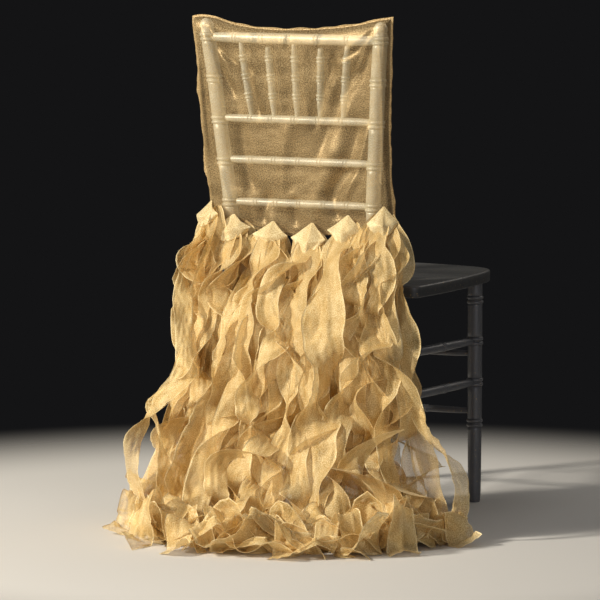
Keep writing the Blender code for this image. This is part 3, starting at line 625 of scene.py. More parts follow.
# How near a trough may come to the line of the chair's back: over the open back, posts, rails and spindles
nearest = {"open": 0.0060, "post": 0.0162, "postHalf": 0.010, "overRail": 0.0030, "railHalf": 0.006,
           "spindles": 0.0098, "fade": 0.012}
# Rows from the top seam to the hem, closer over the shoulder; the flat panel starts here and is this long (m)
panelCut = {"first": (0.0, 0.005, 0.0105), "close": 9, "closeTo": 0.084, "start": -0.21, "long": 0.40}


def hemHeight(x):
    return cover["hemLow"] + cover["hemRise"] * min(abs(x) / cover["hemHalf"], 1.0) ** 2


def seamX(z, side):
    return side * readTable(sideSeams, "z", "left" if side < 0 else "right", z)


def foldLift(table, x, z, ends=0.6):
    lift = 0.0
    for fold in table:
        (x0, z0), (x1, z1) = fold["from"], fold["to"]
        dx, dz = x1 - x0, z1 - z0
        length = math.hypot(dx, dz)
        along = ((x - x0) * dx + (z - z0) * dz) / length**2
        if not -0.5 < along < 1.5:
            continue
        off = ((x - x0) * dz - (z - z0) * dx) / length
        off -= fold.get("bow", 0.0) * math.sin(math.pi * min(max(along, 0.0), 1.0))
        if abs(off) > 4 * fold["half"]:
            continue
        fade = smooth(along * 3 + ends) * smooth((1 - along) * 3 + ends)
        lift += fold["height"] * fade * math.exp(-((off / fold["half"]) ** 2))
    return lift


# A column is flat over the back, on the arc round a post, or in the seam beside it
def panelX(column, z):
    side, zone, t = column
    post, edge = postCentre(1, z).x, abs(seamX(z, side)) - cover["seamWidth"]
    if zone == "flat":
        return side * post * t
    if zone == "arc":
        return side * (post + (edge - post) * t)
    return side * (edge + cover["seamWidth"] * t)


def leastDepth(x, z):
    fade = nearest["fade"]
    beside = abs(abs(x) - postCentre(1, z).x) - nearest["postHalf"]
    need = max(nearest["open"], nearest["post"] * (1 - smooth(beside / fade)))
    for rail in rails:
        beside = abs(z - railHeight(rail)) - nearest["railHalf"]
        need = max(need, (rail["radius"] + nearest["overRail"]) * (1 - smooth(beside / fade)))
    if z > railHeight(rails[1]):
        need = max(need, nearest["spindles"])
    return need


# The panel's depth: level over the back, round to the seams at its sides and its top
def panelY(x, z, top, face, creases=None):
    side = -1 if x < 0 else 1
    post, edge = postCentre(1, z).x, abs(seamX(z, side)) - cover["seamWidth"]
    past = min(max((abs(x) - post) / (edge - post), 0.0), 1.0)
    arch = min(max((z - (top - cover["seamWidth"] - cover["shoulder"])) / cover["shoulder"], 0.0), 1.0)
    wrap = (1 - past ** cover["cornerPower"]) ** (1 / cover["cornerPower"]) * math.sqrt(1 - arch**2)
    deep = cover["standOff"] - cover["seamLeaf"]
    lift = foldLift(mainFolds, x, z) if face < 0 else 0.0
    if creases is not None:
        more = foldLift(creases, x, z) * cover["creaseDepth"]
        more += crumple["tall"] * noise.noise(Vector((x, z, face)) * crumple["scale"])
        more += crumple["fine"] * noise.noise(Vector((x, z, face + 7)) * crumple["fineScale"])
        lift = max(lift + more, leastDepth(x, z) - cover["standOff"])
    return postCentre(1, z).y + face * (cover["seamLeaf"] + (deep + lift) * wrap)


def panelColumns():
    flat, arcs = cover["flatColumns"], cover["arcColumns"]
    middle = [2 * i / flat - 1 for i in range(flat + 1)]
    beside = [("arc", math.sin(math.pi / 2 * (i + 1) / (arcs + 1))) for i in range(arcs)]
    beside += [("seam", 0.0), ("seam", 0.5), ("seam", 1.0)]
    left = [(-1, zone, t) for zone, t in reversed(beside)]
    right = [(1, zone, t) for zone, t in beside]
    return left + [(-1 if t < 0 else 1, "flat", abs(t)) for t in middle] + right


def panelRows():
    first, close, closeTo = panelCut["first"], panelCut["close"], panelCut["closeTo"]
    shares = list(first) + [first[-1] + (closeTo - first[-1]) * (k / close) ** 2 for k in range(1, close + 1)]
    return shares + [closeTo + (1 - closeTo) * (k + 1) / cover["rows"] for k in range(cover["rows"])]


def buildPanel(name, node, face, creases):
    columns = panelColumns()
    grid, cut, rim = [], [], []
    for share in panelRows():
        row, flatRow, rimRow = [], [], []
        for side, zone, t in columns:
            # The top seam and the hem depend on x, and x on the height, so they are found in three steps
            x = side * 0.18
            for _ in range(3):
                top = readTable(topSeam, "x", "z", x)
                z = top + (hemHeight(x) - top) * share
                x = panelX((side, zone, t), z)
            y = panelY(x, z, top, face, creases)
            seam = t if zone == "seam" else 0.0
            wander = sewnEdge["wander"] * noise.noise(Vector((side, 0, z * sewnEdge["wanderScale"])))
            wander += sewnEdge["ruffle"] * noise.noise(Vector((side, 4, z * sewnEdge["ruffleScale"])))
            rise = sewnEdge["topWander"] * noise.noise(Vector((x * sewnEdge["topScale"], 0, 0)))
            ripple = face * sewnEdge["ripple"] * math.sin(z * sewnEdge["rippleScale"])
            row.append(Vector((x + seam * wander, y + seam * ripple, z + (rise if share < 0.003 else 0.0))))
            edge = 1.0 if zone == "seam" else 0.0
            edge = max(edge, 1 - smooth((top - z) / sewnEdge["topBand"]))
            rimRow.append(max(edge, 1 - smooth((z - hemHeight(x)) / sewnEdge["hemBand"])))
        run = panelCut["start"]
        for i, p in enumerate(row):
            run += (p - row[i - 1]).length if i else 0.0
            flatRow.append((run, share * panelCut["long"]))
        grid.append(row)
        cut.append(flatRow)
        rim.append(rimRow)
    cloth = newCloth()
    addGrid(cloth, grid, cut, rim, flip=face > 0)
    return clothPiece(name, cloth, panelCloth, node)


backSheet = buildPanel("cover_back_sheet", "back_panel", -1, backCreases)
frontSheet = buildPanel("cover_front_sheet", "front_panel", 1, frontCreases)
print("stage: cover sheets")


# Ribbons: the strips of part.py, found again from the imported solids

bunches = (
    {"node": "bunch_1", "x": -0.185, "rise": 0.024, "half": 0.022, "face": 247, "nudge": 0.014, "broad": 1.15,
     "tuck": 0.050, "lower": 0.006},
    {"node": "bunch_2", "x": -0.130, "rise": 0.016, "half": 0.031, "face": 268, "nudge": 0.006, "broad": 1.12,
     "tuck": 0.020, "lower": 0.0},
    {"node": "bunch_3", "x": -0.054, "rise": 0.023, "half": 0.033, "face": 269, "nudge": 0.008, "broad": 1.00,
     "tuck": 0.0, "lower": 0.0},
    {"node": "bunch_4", "x": 0.023, "rise": 0.026, "half": 0.033, "face": 270, "nudge": 0.006, "broad": 1.00,
     "tuck": 0.0, "lower": 0.0},
    {"node": "bunch_5", "x": 0.099, "rise": 0.031, "half": 0.032, "face": 272, "nudge": 0.007, "broad": 1.05,
     "tuck": 0.0, "lower": 0.0},
    {"node": "bunch_6", "x": 0.170, "rise": 0.027, "half": 0.025, "face": 290, "nudge": 0.002, "broad": 1.10,
     "tuck": 0.0, "lower": 0.0},
)
# Where the ribbons of a place along the hem point to, in degrees, and how far they reach
fan = (
    {"x": -0.200, "aim": 232, "reach": 0.20},
    {"x": -0.165, "aim": 240, "reach": 0.24},
    {"x": -0.130, "aim": 246, "reach": 0.31},
    {"x": -0.054, "aim": 261, "reach": 0.41},
    {"x": 0.023, "aim": 271, "reach": 0.42},
    {"x": 0.099, "aim": 284, "reach": 0.40},
    {"x": 0.145, "aim": 300, "reach": 0.33},
    {"x": 0.190, "aim": 330, "reach": 0.25},
)
# A strip from its root to its end: its height and way out as shares, and how wide and how free to turn it is
travel = (
    {"high": 1.000, "out": 0.000, "wide": 0.30, "swing": 0.0},
    {"high": 0.940, "out": 0.026, "wide": 0.36, "swing": 0.0},
    {"high": 0.860, "out": 0.075, "wide": 0.52, "swing": 0.0},
    {"high": 0.740, "out": 0.155, "wide": 0.78, "swing": 0.2},
    {"high": 0.600, "out": 0.255, "wide": 0.96, "swing": 0.7},
    {"high": 0.440, "out": 0.360, "wide": 1.00, "swing": 1.0},
    {"high": 0.290, "out": 0.465, "wide": 1.00, "swing": 1.0},
    {"high": 0.160, "out": 0.570, "wide": 1.00, "swing": 0.7},
    {"high": 0.070, "out": 0.650, "wide": 1.00, "swing": 0.25},
    {"high": 0.012, "out": 0.715, "wide": 1.00, "swing": 0.0},
    {"high": 0.080, "out": 0.785, "wide": 1.00, "swing": 0.0},
    {"high": 0.100, "out": 0.820, "wide": 1.00, "swing": 0.0},
    {"high": 0.060, "out": 0.862, "wide": 1.00, "swing": 0.0},
    {"high": 0.004, "out": 0.905, "wide": 1.00, "swing": 0.0},
    {"high": 0.000, "out": 1.000, "wide": 1.00, "swing": 0.0},
)
layers = (
    {"root": 0.0100, "out": 1.00, "wide": 0.060, "loop": 1.0, "turn": 0, "shown": 0.050},
    {"root": 0.0077, "out": 0.70, "wide": 0.056, "loop": 0.7, "turn": 90, "shown": 0.046},
    {"root": 0.0054, "out": 0.44, "wide": 0.046, "loop": 0.4, "turn": 180, "shown": 0.042},
    {"root": 0.0031, "out": 0.20, "wide": 0.042, "loop": 0.0, "turn": 270, "shown": 0.038},
)
strips = {
    "sections": 23, "touchdown": 9, "hangingEnd": 8.4, "lyingReach": 0.16, "bulge": 0.022, "rootDrop": 0.036,
    "thick": 0.0012, "shingle": math.radians(18), "swing": math.radians(72), "sway": 0.009, "turn": 0.330,
    "laneTurn": 9, "laneStep": 1.5, "laneShare": 0.58, "veerFrom": 6, "veerOver": 8, "bulgeOver": 4,
    "layOver": 2, "steep": 0.3, "shingleFrom": 0.4, "trials": 120, "strayTrials": 8, "turnStray": (-170, 170),
    "veer": (-12, 12), "loop": (0.3, 1.7), "shorter": 0.05, "shorterStray": 0.10,
    "narrow": 0.3, "narrowFrom": 0.3, "tested": (6, 9, 12, 15), "sameCorner": 4e-5, "finer": 5, "startUp": 0.010,
}
# The heads' shift fades out over this much length of a strip, and the left bunches' tuck over this much height
moved = {"from": 0.03, "over": 0.12, "tuckFrom": 0.50, "tuckOver": 0.10}
# A ribbon's own surface; a pair is the range that each ribbon's dice choose from, and calm is how much less of
# it is left on the floor
ribbon = {
    "columns": 16, "root": 0.30, "gather": 0.050, "pleat": 0.0016, "pleats": 2.1,
    "hangFrom": 0.03, "hangOver": 0.07,
    "cup": 0.20, "cupShare": (0.5, 1.4), "cupPitch": (0.12, 0.26),
    "flutter": 0.0012, "flutterPitch": 0.110, "flutterShare": (0.7, 1.4),
    "twist": 0.28, "twistShare": (0.5, 1.3), "twistPitch": (0.14, 0.24), "second": 0.4, "secondPitch": 0.43,
    "freePitch": 0.37, "lean": 0.60, "leanScale": 19, "breathe": 0.12, "breatheScale": 27,
    "crush": 0.0014, "crushScale": 34, "crushAcross": 0.9, "crushCalm": 0.5,
    "crease": 0.0060, "creaseScale": (30, 40), "creaseAcross": 1.5, "creaseCalm": 0.4,
    "ridge": 0.0022, "ridgeHalf": 0.13, "ridges": 2, "ridgePlace": (-0.7, 0.7), "ridgeWander": (0.1, 0.4),
    "ridgeScale": (6, 14), "ridgeBeat": 0.7,
    "slant": (-0.6, 0.6), "roll": 0.0006, "floor": 0.0006, "edge": 0.68, "beside": 0.09,
}


def bunchFrame(bunch):
    turn = math.radians(bunch["face"])
    facing = Vector((math.cos(turn), math.sin(turn), 0))
    x = bunch["x"]
    z = hemHeight(x) + bunch["rise"]
    y = panelY(x, z, readTable(topSeam, "x", "z", x), -1) - cover["cloth"] / 2
    return Vector((x, y, z)), facing, Vector((-facing.y, facing.x, 0))


# The columns of the travel table by step, read once
travelRows = [dict(row, at=i) for i, row in enumerate(travel)]


def stripFrames(bunch, lane, layer, nature, count):
    apex, facing, across = bunchFrame(bunch)
    kind = layers[layer]
    beside = lane * bunch["half"] * strips["laneShare"]
    root = apex - up * strips["rootDrop"] + facing * kind["root"] + across * beside
    aim = readTable(fan, "x", "aim", root.x)
    reach = readTable(fan, "x", "reach", root.x) * kind["out"] * nature["reach"]
    last = len(travel) - 1 if reach > strips["lyingReach"] else strips["hangingEnd"]
    lift = strips["thick"] / 2
    path = []
    for k in range(count):
        step = k / (count - 1) * last
        turn = math.radians(aim + nature["veer"] * smooth((step - strips["veerFrom"]) / strips["veerOver"]))
        out = Vector((math.cos(turn), math.sin(turn), 0))
        high = max(readTable(travelRows, "at", "high", step), 0.0)
        if step > strips["touchdown"]:
            high *= nature["loop"] * kind["loop"]
        centre = Vector((root.x, root.y, lift + (root.z - lift) * high))
        away = out * (reach * readTable(travelRows, "at", "out", step))
        centre += away + facing * (strips["bulge"] * smooth(step / strips["bulgeOver"]))
        path.append((step, centre, Vector((-out.y, out.x, 0))))
    frames = []
    for k, (step, centre, side) in enumerate(path):
        along = (path[min(k + 1, count - 1)][1] - path[max(k - 1, 0)][1]).normalized()
        level = Vector((-along.y, along.x, 0))
        down = smooth((step - strips["touchdown"] + strips["layOver"]) / strips["layOver"])
        if level.length > strips["steep"]:
            side = (side * (1 - down) + level.normalized() * down).normalized()
        flat = along.cross(side).normalized()
        wide = readTable(travelRows, "at", "wide", step)
        swing = max(readTable(travelRows, "at", "swing", step), 0.0)
        cycle = fullTurn * (path[0][1].z - centre.z) / strips["turn"] + nature["turn"]
        opened = smooth((wide - strips["shingleFrom"]) / strips["shingleFrom"])
        shingle = strips["shingle"] * opened * (1 - down)
        angle = shingle + swing * strips["swing"] * (1 - math.cos(cycle))
        widthWay = side * math.cos(angle) + flat * math.sin(angle)
        frames.append({
            "middle": centre + side * (strips["sway"] * swing * math.cos(cycle)), "across": widthWay,
            "out": along.cross(widthWay).normalized(), "wide": wide, "down": down,
        })
    return frames


# part.py tries a strip's nature in this order until the strip fits
def stripNature(name, laneNumber, layer, trial):
    dice = random.Random(f"{name}_{trial}")
    stray = min(trial, strips["strayTrials"]) / strips["strayTrials"]
    turn = layers[layer]["turn"] + laneNumber * strips["laneTurn"] + dice.uniform(*strips["turnStray"]) * stray
    late = max(trial / strips["trials"] - strips["narrowFrom"], 0.0)
    return {
        "turn": math.radians(turn),
        "reach": 1 - dice.uniform(0.0, strips["shorter"] + strips["shorterStray"] * stray),
        "veer": dice.uniform(*strips["veer"]),
        "loop": dice.uniform(*strips["loop"]),
        "wide": 1.0 - strips["narrow"] * late / (1 - strips["narrowFrom"]),
    }


# True where corners of the strip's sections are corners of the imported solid
def matchesSolid(frames, kind, nature, corners):
    for k in strips["tested"]:
        f = frames[k]
        half = f["across"] * (kind["wide"] * nature["wide"] * f["wide"] / 2)
        thick = f["out"] * (strips["thick"] / 2)
        ring = [f["middle"] + half * a + thick * b for a, b in ((-1, -1), (1, -1), (1, 1), (-1, 1))]
        sunk = min(min(p.z for p in ring), 0.0)
        for p in ring:
            if corners.find(p - up * sunk)[2] > strips["sameCorner"]:
                return False
    return True


def findNature(bunch, lane, layer, name, laneNumber, corners):
    for trial in range(strips["trials"]):
        nature = stripNature(name, laneNumber, layer, trial)
        frames = stripFrames(bunch, lane, layer, nature, strips["sections"])
        if matchesSolid(frames, layers[layer], nature, corners):
            return nature
    return None


# A ribbon's surface over its frames: gathered at its root, curled a little across, crushed and creased
def ribbonGrid(frames, width, dice, free):
    cup = ribbon["cup"] * dice.uniform(*ribbon["cupShare"])
    cupPitch, cupStart = dice.uniform(*ribbon["cupPitch"]), dice.uniform(*anyPhase)
    starts = [dice.uniform(*anyPhase) for _ in range(6)]
    pitches = [ribbon["flutterPitch"] * dice.uniform(*ribbon["flutterShare"]) for _ in range(2)]
    twist = ribbon["twist"] * dice.uniform(*ribbon["twistShare"])
    twistPitch = dice.uniform(*ribbon["twistPitch"])
    slant, seed = dice.uniform(*ribbon["slant"]), dice.uniform(0, 90)
    ridges = [(dice.uniform(*ribbon["ridgePlace"]), dice.uniform(*ribbon["ridgeWander"]),
               dice.uniform(*ribbon["ridgeScale"]), dice.uniform(*anyPhase)) for _ in range(ribbon["ridges"])]
    places = [2 * i / ribbon["columns"] - 1 for i in range(ribbon["columns"] + 1)]
    grid, cut, rim = [], [], []
    s = 0.0
    for k, f in enumerate(frames):
        if k:
            s += (f["middle"] - frames[k - 1]["middle"]).length
        hanging = smooth((s - ribbon["hangFrom"]) / ribbon["hangOver"])
        shown = width * (ribbon["root"] + (1 - ribbon["root"]) * f["wide"])
        shown *= 1 + ribbon["breathe"] * math.sin(s * ribbon["breatheScale"] + starts[3]) * hanging
        half = shown / 2
        turn = hanging * (free * math.sin(fullTurn * s / ribbon["freePitch"] + starts[3])) * (1 - f["down"])
        turn += f["down"] * ribbon["lean"] * free * math.sin(s * ribbon["leanScale"] + starts[4])
        second = math.sin(fullTurn * s / (twistPitch * ribbon["secondPitch"]) + starts[5])
        turn += hanging * twist * (math.sin(fullTurn * s / twistPitch + starts[4]) + ribbon["second"] * second)
        across = f["across"] * math.cos(turn) + f["out"] * math.sin(turn)
        out = f["out"] * math.cos(turn) - f["across"] * math.sin(turn)
        gather = math.exp(-s / ribbon["gather"])
        curl = cup * half * math.sin(fullTurn * s / cupPitch + cupStart) * hanging
        crush = ribbon["crush"] * hanging * (1 - ribbon["crushCalm"] * f["down"])
        crease = ribbon["crease"] * hanging * (1 - ribbon["creaseCalm"] * f["down"])
        row, flatRow, rimRow = [], [], []
        for u in places:
            off = curl * (u * u - 0.33)
            off += ribbon["pleat"] * gather * math.cos(math.pi * ribbon["pleats"] * u + starts[0])
            side = 0 if u < 0 else 1
            wave = math.sin(fullTurn * s / pitches[side] + starts[1 + side])
            off += ribbon["flutter"] * hanging * abs(u) ** 2 * wave
            off += crush * noise.noise(Vector((u * ribbon["crushAcross"], s * ribbon["crushScale"], seed)))
            fineX = u * ribbon["creaseAcross"] + s * ribbon["creaseScale"][0]
            fineY = s * ribbon["creaseScale"][1] - u
            off += crease * abs(noise.noise(Vector((fineX, fineY, seed + 5))))
            for place, wander, pitch, begin in ridges:
                near = (u - place - wander * math.sin(s * pitch + begin)) / ribbon["ridgeHalf"]
                beat = math.sin(s * pitch * ribbon["ridgeBeat"] + begin * 2)
                off += ribbon["ridge"] * hanging * math.exp(-near * near) * beat
            row.append(f["middle"] + across * (half * u) + out * off)
            flatRow.append((u * width / 2, s))
            rimRow.append(ribbon["edge"] if abs(u) > 0.999 else 0.0)
        if k > len(frames) - 3:  # its end is cut aslant
            ahead = f["across"].cross(f["out"])
            row = [p + ahead * (-slant * half * u) for u, p in zip(places, row)]
        for side, at in ((-1, 0), (1, -1)):  # and its two edges roll a little
            base = row[at]
            turned = base + across * (side * ribbon["roll"] * 0.4) + out * ribbon["roll"]
            row = [turned] + row if side < 0 else row + [turned]
        sunk = min(min(p.z for p in row) - ribbon["floor"], 0.0)
        grid.append([p - up * sunk for p in row])
        cut.append([(-width / 2, s)] + flatRow + [(width / 2, s)])
        rim.append([ribbon["edge"]] + rimRow + [ribbon["edge"]])
    rim[-1] = [ribbon["edge"]] * len(rim[-1])
    return grid, cut, rim, s


# Further ribbons of each bunch: how many, their turn aside from the fan (degrees), their lean to the right (m),
# and their share of the fan's reach
curtain = {
    "bunch_1": {"count": 7, "aside": (4, 30), "lean": 0.020, "share": (0.25, 0.85)},
    "bunch_2": {"count": 9, "aside": (-8, 16), "lean": 0.006, "share": (0.25, 0.95)},
    "bunch_3": {"count": 10, "aside": (-12, 12), "lean": 0.000, "share": (0.30, 1.00)},
    "bunch_4": {"count": 10, "aside": (-12, 12), "lean": 0.000, "share": (0.30, 1.00)},
    "bunch_5": {"count": 11, "aside": (-12, 18), "lean": 0.002, "share": (0.30, 1.00)},
    "bunch_6": {"count": 11, "aside": (-42, 4), "lean": -0.014, "share": (0.30, 0.95)},
}
# What the dice choose for a further ribbon, how many courses it tries, and what a crossing with the chair counts
# for; its first frames are gathered in the head, where crossings are right
curtainRibbon = {"wide": (0.030, 0.056), "turn": (0.20, 0.36), "swaying": 0.25, "belly": (0.0, 0.8),
                 "trials": 8, "rootFrames": 6, "chairWeight": 20}
# The broad ribbon in front of a bunch, which turns slowly
frontRibbons = {
    "bunch_3": {"aside": -3, "belly": 0.5, "share": 0.80, "wide": 0.068, "turn": 0.44},
    "bunch_4": {"aside": 0, "belly": 0.5, "share": 0.78, "wide": 0.070, "turn": 0.46},
    "bunch_5": {"aside": 3, "belly": 0.9, "share": 0.78, "wide": 0.074, "turn": 0.42},
}
# Single ribbons that stand away from the rest: their lower course (m), and their folds on the floor
looseRibbons = (
    {"node": "bunch_1", "aside": 16, "share": 0.55, "wide": 0.040, "turn": -0.46, "from": 0.330, "folds": 1,
     "start": 0.6, "belly": 0.5,
     "course": ((-0.142, -0.225, 0.300), (-0.176, -0.235, 0.240), (-0.206, -0.245, 0.175),
                (-0.216, -0.250, 0.110), (-0.200, -0.250, 0.052), (-0.166, -0.262, 0.014))},
    {"node": "bunch_1", "aside": 10, "share": 0.50, "wide": 0.034, "turn": -0.60, "from": 0.400, "folds": 2,
     "start": 0.3, "belly": 0.5,
     "course": ((-0.120, -0.225, 0.310), (-0.166, -0.225, 0.262), (-0.204, -0.228, 0.226),
                (-0.172, -0.240, 0.190), (-0.150, -0.250, 0.130), (-0.140, -0.264, 0.060),
                (-0.124, -0.285, 0.014))},
    {"node": "bunch_6", "aside": -6, "share": 0.70, "wide": 0.038, "turn": -0.50, "from": 0.300, "folds": 1,
     "start": -0.5, "belly": 0.5,
     "course": ((0.262, -0.130, 0.230), (0.305, -0.128, 0.185), (0.350, -0.124, 0.150),
                (0.376, -0.124, 0.105), (0.380, -0.128, 0.058), (0.352, -0.146, 0.016))},
    {"node": "bunch_1", "aside": 6, "share": 0.55, "wide": 0.042, "turn": -0.70, "from": 0.300, "folds": 0,
     "start": 0.9, "belly": 0.5,
     "course": ((-0.176, -0.190, 0.210), (-0.206, -0.180, 0.120), (-0.236, -0.155, 0.050),
                (-0.272, -0.120, 0.016), (-0.322, -0.088, 0.008))},
)
# A hanging ribbon's height and way out as shares, for a slim and for a full belly
curtainRows = (
    {"high": 1.025, "slim": 0.00, "full": 0.00},
    {"high": 1.000, "slim": 0.00, "full": 0.01},
    {"high": 0.930, "slim": 0.03, "full": 0.10},
    {"high": 0.840, "slim": 0.08, "full": 0.24},
    {"high": 0.720, "slim": 0.16, "full": 0.38},
    {"high": 0.580, "slim": 0.27, "full": 0.50},
    {"high": 0.430, "slim": 0.40, "full": 0.61},
    {"high": 0.280, "slim": 0.53, "full": 0.72},
    {"high": 0.150, "slim": 0.66, "full": 0.82},
    {"high": 0.060, "slim": 0.78, "full": 0.92},
    {"high": 0.012, "slim": 0.88, "full": 1.00},
)
hang = {
    "laneStep": 0.618, "laneStart": 0.25, "laneHalf": 0.60, "deep": (0.003, 0.0105), "frontDeep": 0.0125,
    "aimStray": (-4, 4), "reach": 0.78, "reachShare": (0.92, 1.04), "swell": (0.7, 1.2), "frontSwell": 1.25,
    "spread": (-0.022, 0.022), "laneSpread": 0.020, "stray": 0.016, "frontStray": 0.005, "openOver": 3,
    "strayOver": 4, "startUp": 0.014, "startIn": 0.4, "curveSteps": 8, "pitch": 0.0062,
}
# How a ribbon winds round its own line, and the wider loops that it makes low down
winding = {
    "out": 0.34, "frontOut": 0.25, "dwell": 0.38, "pinch": 0.35, "sway": 1.25, "swayStart": 0.4,
    "start": (-0.7, 0.7), "steep": 0.35, "levels": 0.1,
    "from": 0.03, "over": 0.09, "loopFrom": 0.28, "loopOver": 0.18, "loops": 1.5,
    "extraTurn": 0.5, "extraOver": 0.25, "lieBelow": 0.08, "toTilt": 0.40, "rootWide": 0.42,
}
# On the floor a ribbon lies in straight runs with sharp folds between them, each run tilted its own way
pile = {
    "folds": (6, 10), "run": (0.026, 0.070), "rise": (0.022, 0.090), "lower": 0.07, "low": (0.003, 0.020),
    "tilt": 0.9, "start": (-1.2, 1.2), "veer": (-0.7, 0.7), "back": (1.0, 2.9), "turns": 8,
}
footprint = {"x": 0.062, "y": -0.090, "halfX": 0.310, "halfY": 0.370, "front": -0.10}


def inFootprint(p):
    aside, away = (p.x - footprint["x"]) / footprint["halfX"], (p.y - footprint["y"]) / footprint["halfY"]
    return aside**2 + away**2 < 1 and p.y < footprint["front"]


def hangingPath(bunch, number, own, dice):
    apex, facing, across = bunchFrame(bunch)
    front = own["front"]
    place = (number * hang["laneStep"] + hang["laneStart"]) % 1.0
    lane = 0.0 if front else (2 * place - 1) * hang["laneHalf"]
    depth = hang["frontDeep"] if front else dice.uniform(*hang["deep"])
    root = apex - up * strips["rootDrop"] + facing * depth + across * (lane * bunch["half"])
    aim = math.radians(readTable(fan, "x", "aim", root.x) + own["aside"] + dice.uniform(*hang["aimStray"]))
    out = Vector((math.cos(aim), math.sin(aim), 0))
    reach = readTable(fan, "x", "reach", root.x) * own["share"]
    reach = reach * dice.uniform(*hang["reachShare"]) * hang["reach"]
    swell = strips["bulge"] * (hang["frontSwell"] if front else dice.uniform(*hang["swell"]))
    spread = dice.uniform(*hang["spread"]) + lane * hang["laneSpread"] + curtain[bunch["node"]]["lean"]
    points = []
    for k, row in enumerate(curtainRows):
        share = row["slim"] + (row["full"] - row["slim"]) * own["belly"]
        p = root + out * (reach * share) + facing * (swell * smooth(k / hang["openOver"]))
        stray = hang["stray"] * smooth(k / hang["strayOver"]) if not front else hang["frontStray"]
        aside = across * (dice.uniform(-stray, stray) + spread * smooth(k / hang["openOver"]))
        p += aside + facing * dice.uniform(-stray, stray)
        if root.z * row["high"] > own.get("from", 0.0):
            points.append(Vector((p.x, p.y, root.z * row["high"])))
    points += [Vector(p) for p in own.get("course", ())]
    inward = across * (lane * bunch["half"] * hang["startIn"])
    points[0] = root + up * hang["startUp"] - inward - facing * (depth * hang["startIn"])
    return evenly(throughPoints(points, hang["curveSteps"]), hang["pitch"]), aim, across


def curtainPath(bunch, number, own, dice):
    hanging, aim, across = hangingPath(bunch, number, own, dice)
    path, tilts = list(hanging), [None] * len(hanging)
    heading, here = aim + dice.uniform(*pile["start"]), hanging[-1]
    folds = own["folds"] if "folds" in own else dice.randint(*pile["folds"])
    for fold in range(folds):
        run, rising = dice.uniform(*pile["run"]), fold % 2 == 0
        for _ in range(pile["turns"]):
            way = Vector((math.cos(heading), math.sin(heading), 0))
            if inFootprint(here + way * run):
                break
            heading += math.pi / 4 * (1 if number % 2 else -1)
        there = here + way * run
        if rising:
            there.z = dice.uniform(*pile["rise"]) * (1 - pile["lower"] * fold)
        else:
            there.z = dice.uniform(*pile["low"])
        leg = evenly([here, there], hang["pitch"])[1:]
        path += leg
        tilts += [dice.uniform(-1, 1) * pile["tilt"]] * len(leg)
        heading += dice.uniform(*pile["veer"]) if rising else dice.choice((-1, 1)) * dice.uniform(*pile["back"])
        here = there
    for _ in range(2):
        start = len(hanging) - 2
        path[start:-1] = [(path[k - 1] + path[k] * 2 + path[k + 1]) / 4 for k in range(start, len(path) - 1)]
    return path, tilts, across


def curtainNature(bunch, number):
    node = bunch["node"]
    if number == 0 and node in frontRibbons:
        return dict(frontRibbons[node], front=True)
    dice, kind = random.Random(f"{node}_nature_{number}"), curtain[node]
    turn = dice.uniform(*curtainRibbon["turn"])
    return {
        "aside": dice.uniform(*kind["aside"]), "belly": dice.uniform(*curtainRibbon["belly"]),
        "share": dice.uniform(*kind["share"]), "wide": dice.uniform(*curtainRibbon["wide"]),
        "turn": turn if dice.random() < curtainRibbon["swaying"] else -turn, "front": False,
    }


# Each further ribbon winds round its own line, as a strip cut on a spiral does when it hangs, or it sways
def curtainFrames(bunch, number, own, dice):
    path, tilts, across = curtainPath(bunch, number, own, dice)
    front = own["front"]
    plain = front or "course" in own
    way = 1 if front else dice.choice((-1, 1))
    start = own.get("start", 0.0 if front else dice.uniform(*winding["start"]))
    side = across.copy()
    frames, s, tilt, angle, down = [], 0.0, 0.0, start, 0.0
    for k, p in enumerate(path):
        s += (p - path[k - 1]).length if k else 0.0
        along = (path[min(k + 1, len(path) - 1)] - path[max(k - 1, 0)]).normalized()
        side = (side - along * side.dot(along)).normalized()
        level = Vector((-along.y, along.x, 0))
        if level.length > winding["steep"]:
            level.normalize()
            if level.dot(side) < 0:
                level.negate()
            side = (side * (1 - winding["levels"]) + level * winding["levels"]).normalized()
            side = (side - along * side.dot(along)).normalized()
        swing = smooth((s - winding["from"]) / winding["over"])
        if tilts[k] is None:
            down = smooth((winding["lieBelow"] - p.z) / winding["lieBelow"])
            cycle = fullTurn * max(s - winding["from"], 0.0) / abs(own["turn"])
            if not plain:
                low = smooth((winding["loopFrom"] - p.z) / winding["extraOver"])
                cycle += fullTurn * winding["extraTurn"] * low
            sway = swing * winding["sway"] * math.sin(cycle + way * winding["swayStart"])
            angle = start + (sway if own["turn"] > 0 else way * cycle)
            angle -= winding["dwell"] * math.sin(2 * angle) * swing
            tilt = math.atan2(math.sin(angle), math.cos(angle))
        else:
            down = 1.0
            tilt += (tilts[k] - tilt) * winding["toTilt"]
            angle = tilt
        flat = along.cross(side).normalized()
        widthWay = side * math.cos(angle) + flat * math.sin(angle)
        loops = 0.0 if plain else smooth((winding["loopFrom"] - p.z) / winding["loopOver"])
        more = winding["frontOut"] if front else 1.0 + winding["loops"] * loops
        wound = widthWay * (winding["out"] * own["wide"] * swing * (1 - down) * more)
        wide = winding["rootWide"] + (1 - winding["rootWide"]) * smooth(s / winding["over"])
        wide *= 1 - winding["pinch"] * abs(math.sin(angle)) ** 3 * swing * (1 - down)
        frames.append({"middle": p + wound, "across": widthWay, "out": along.cross(widthWay).normalized(),
                       "wide": wide, "down": down})
    return frames


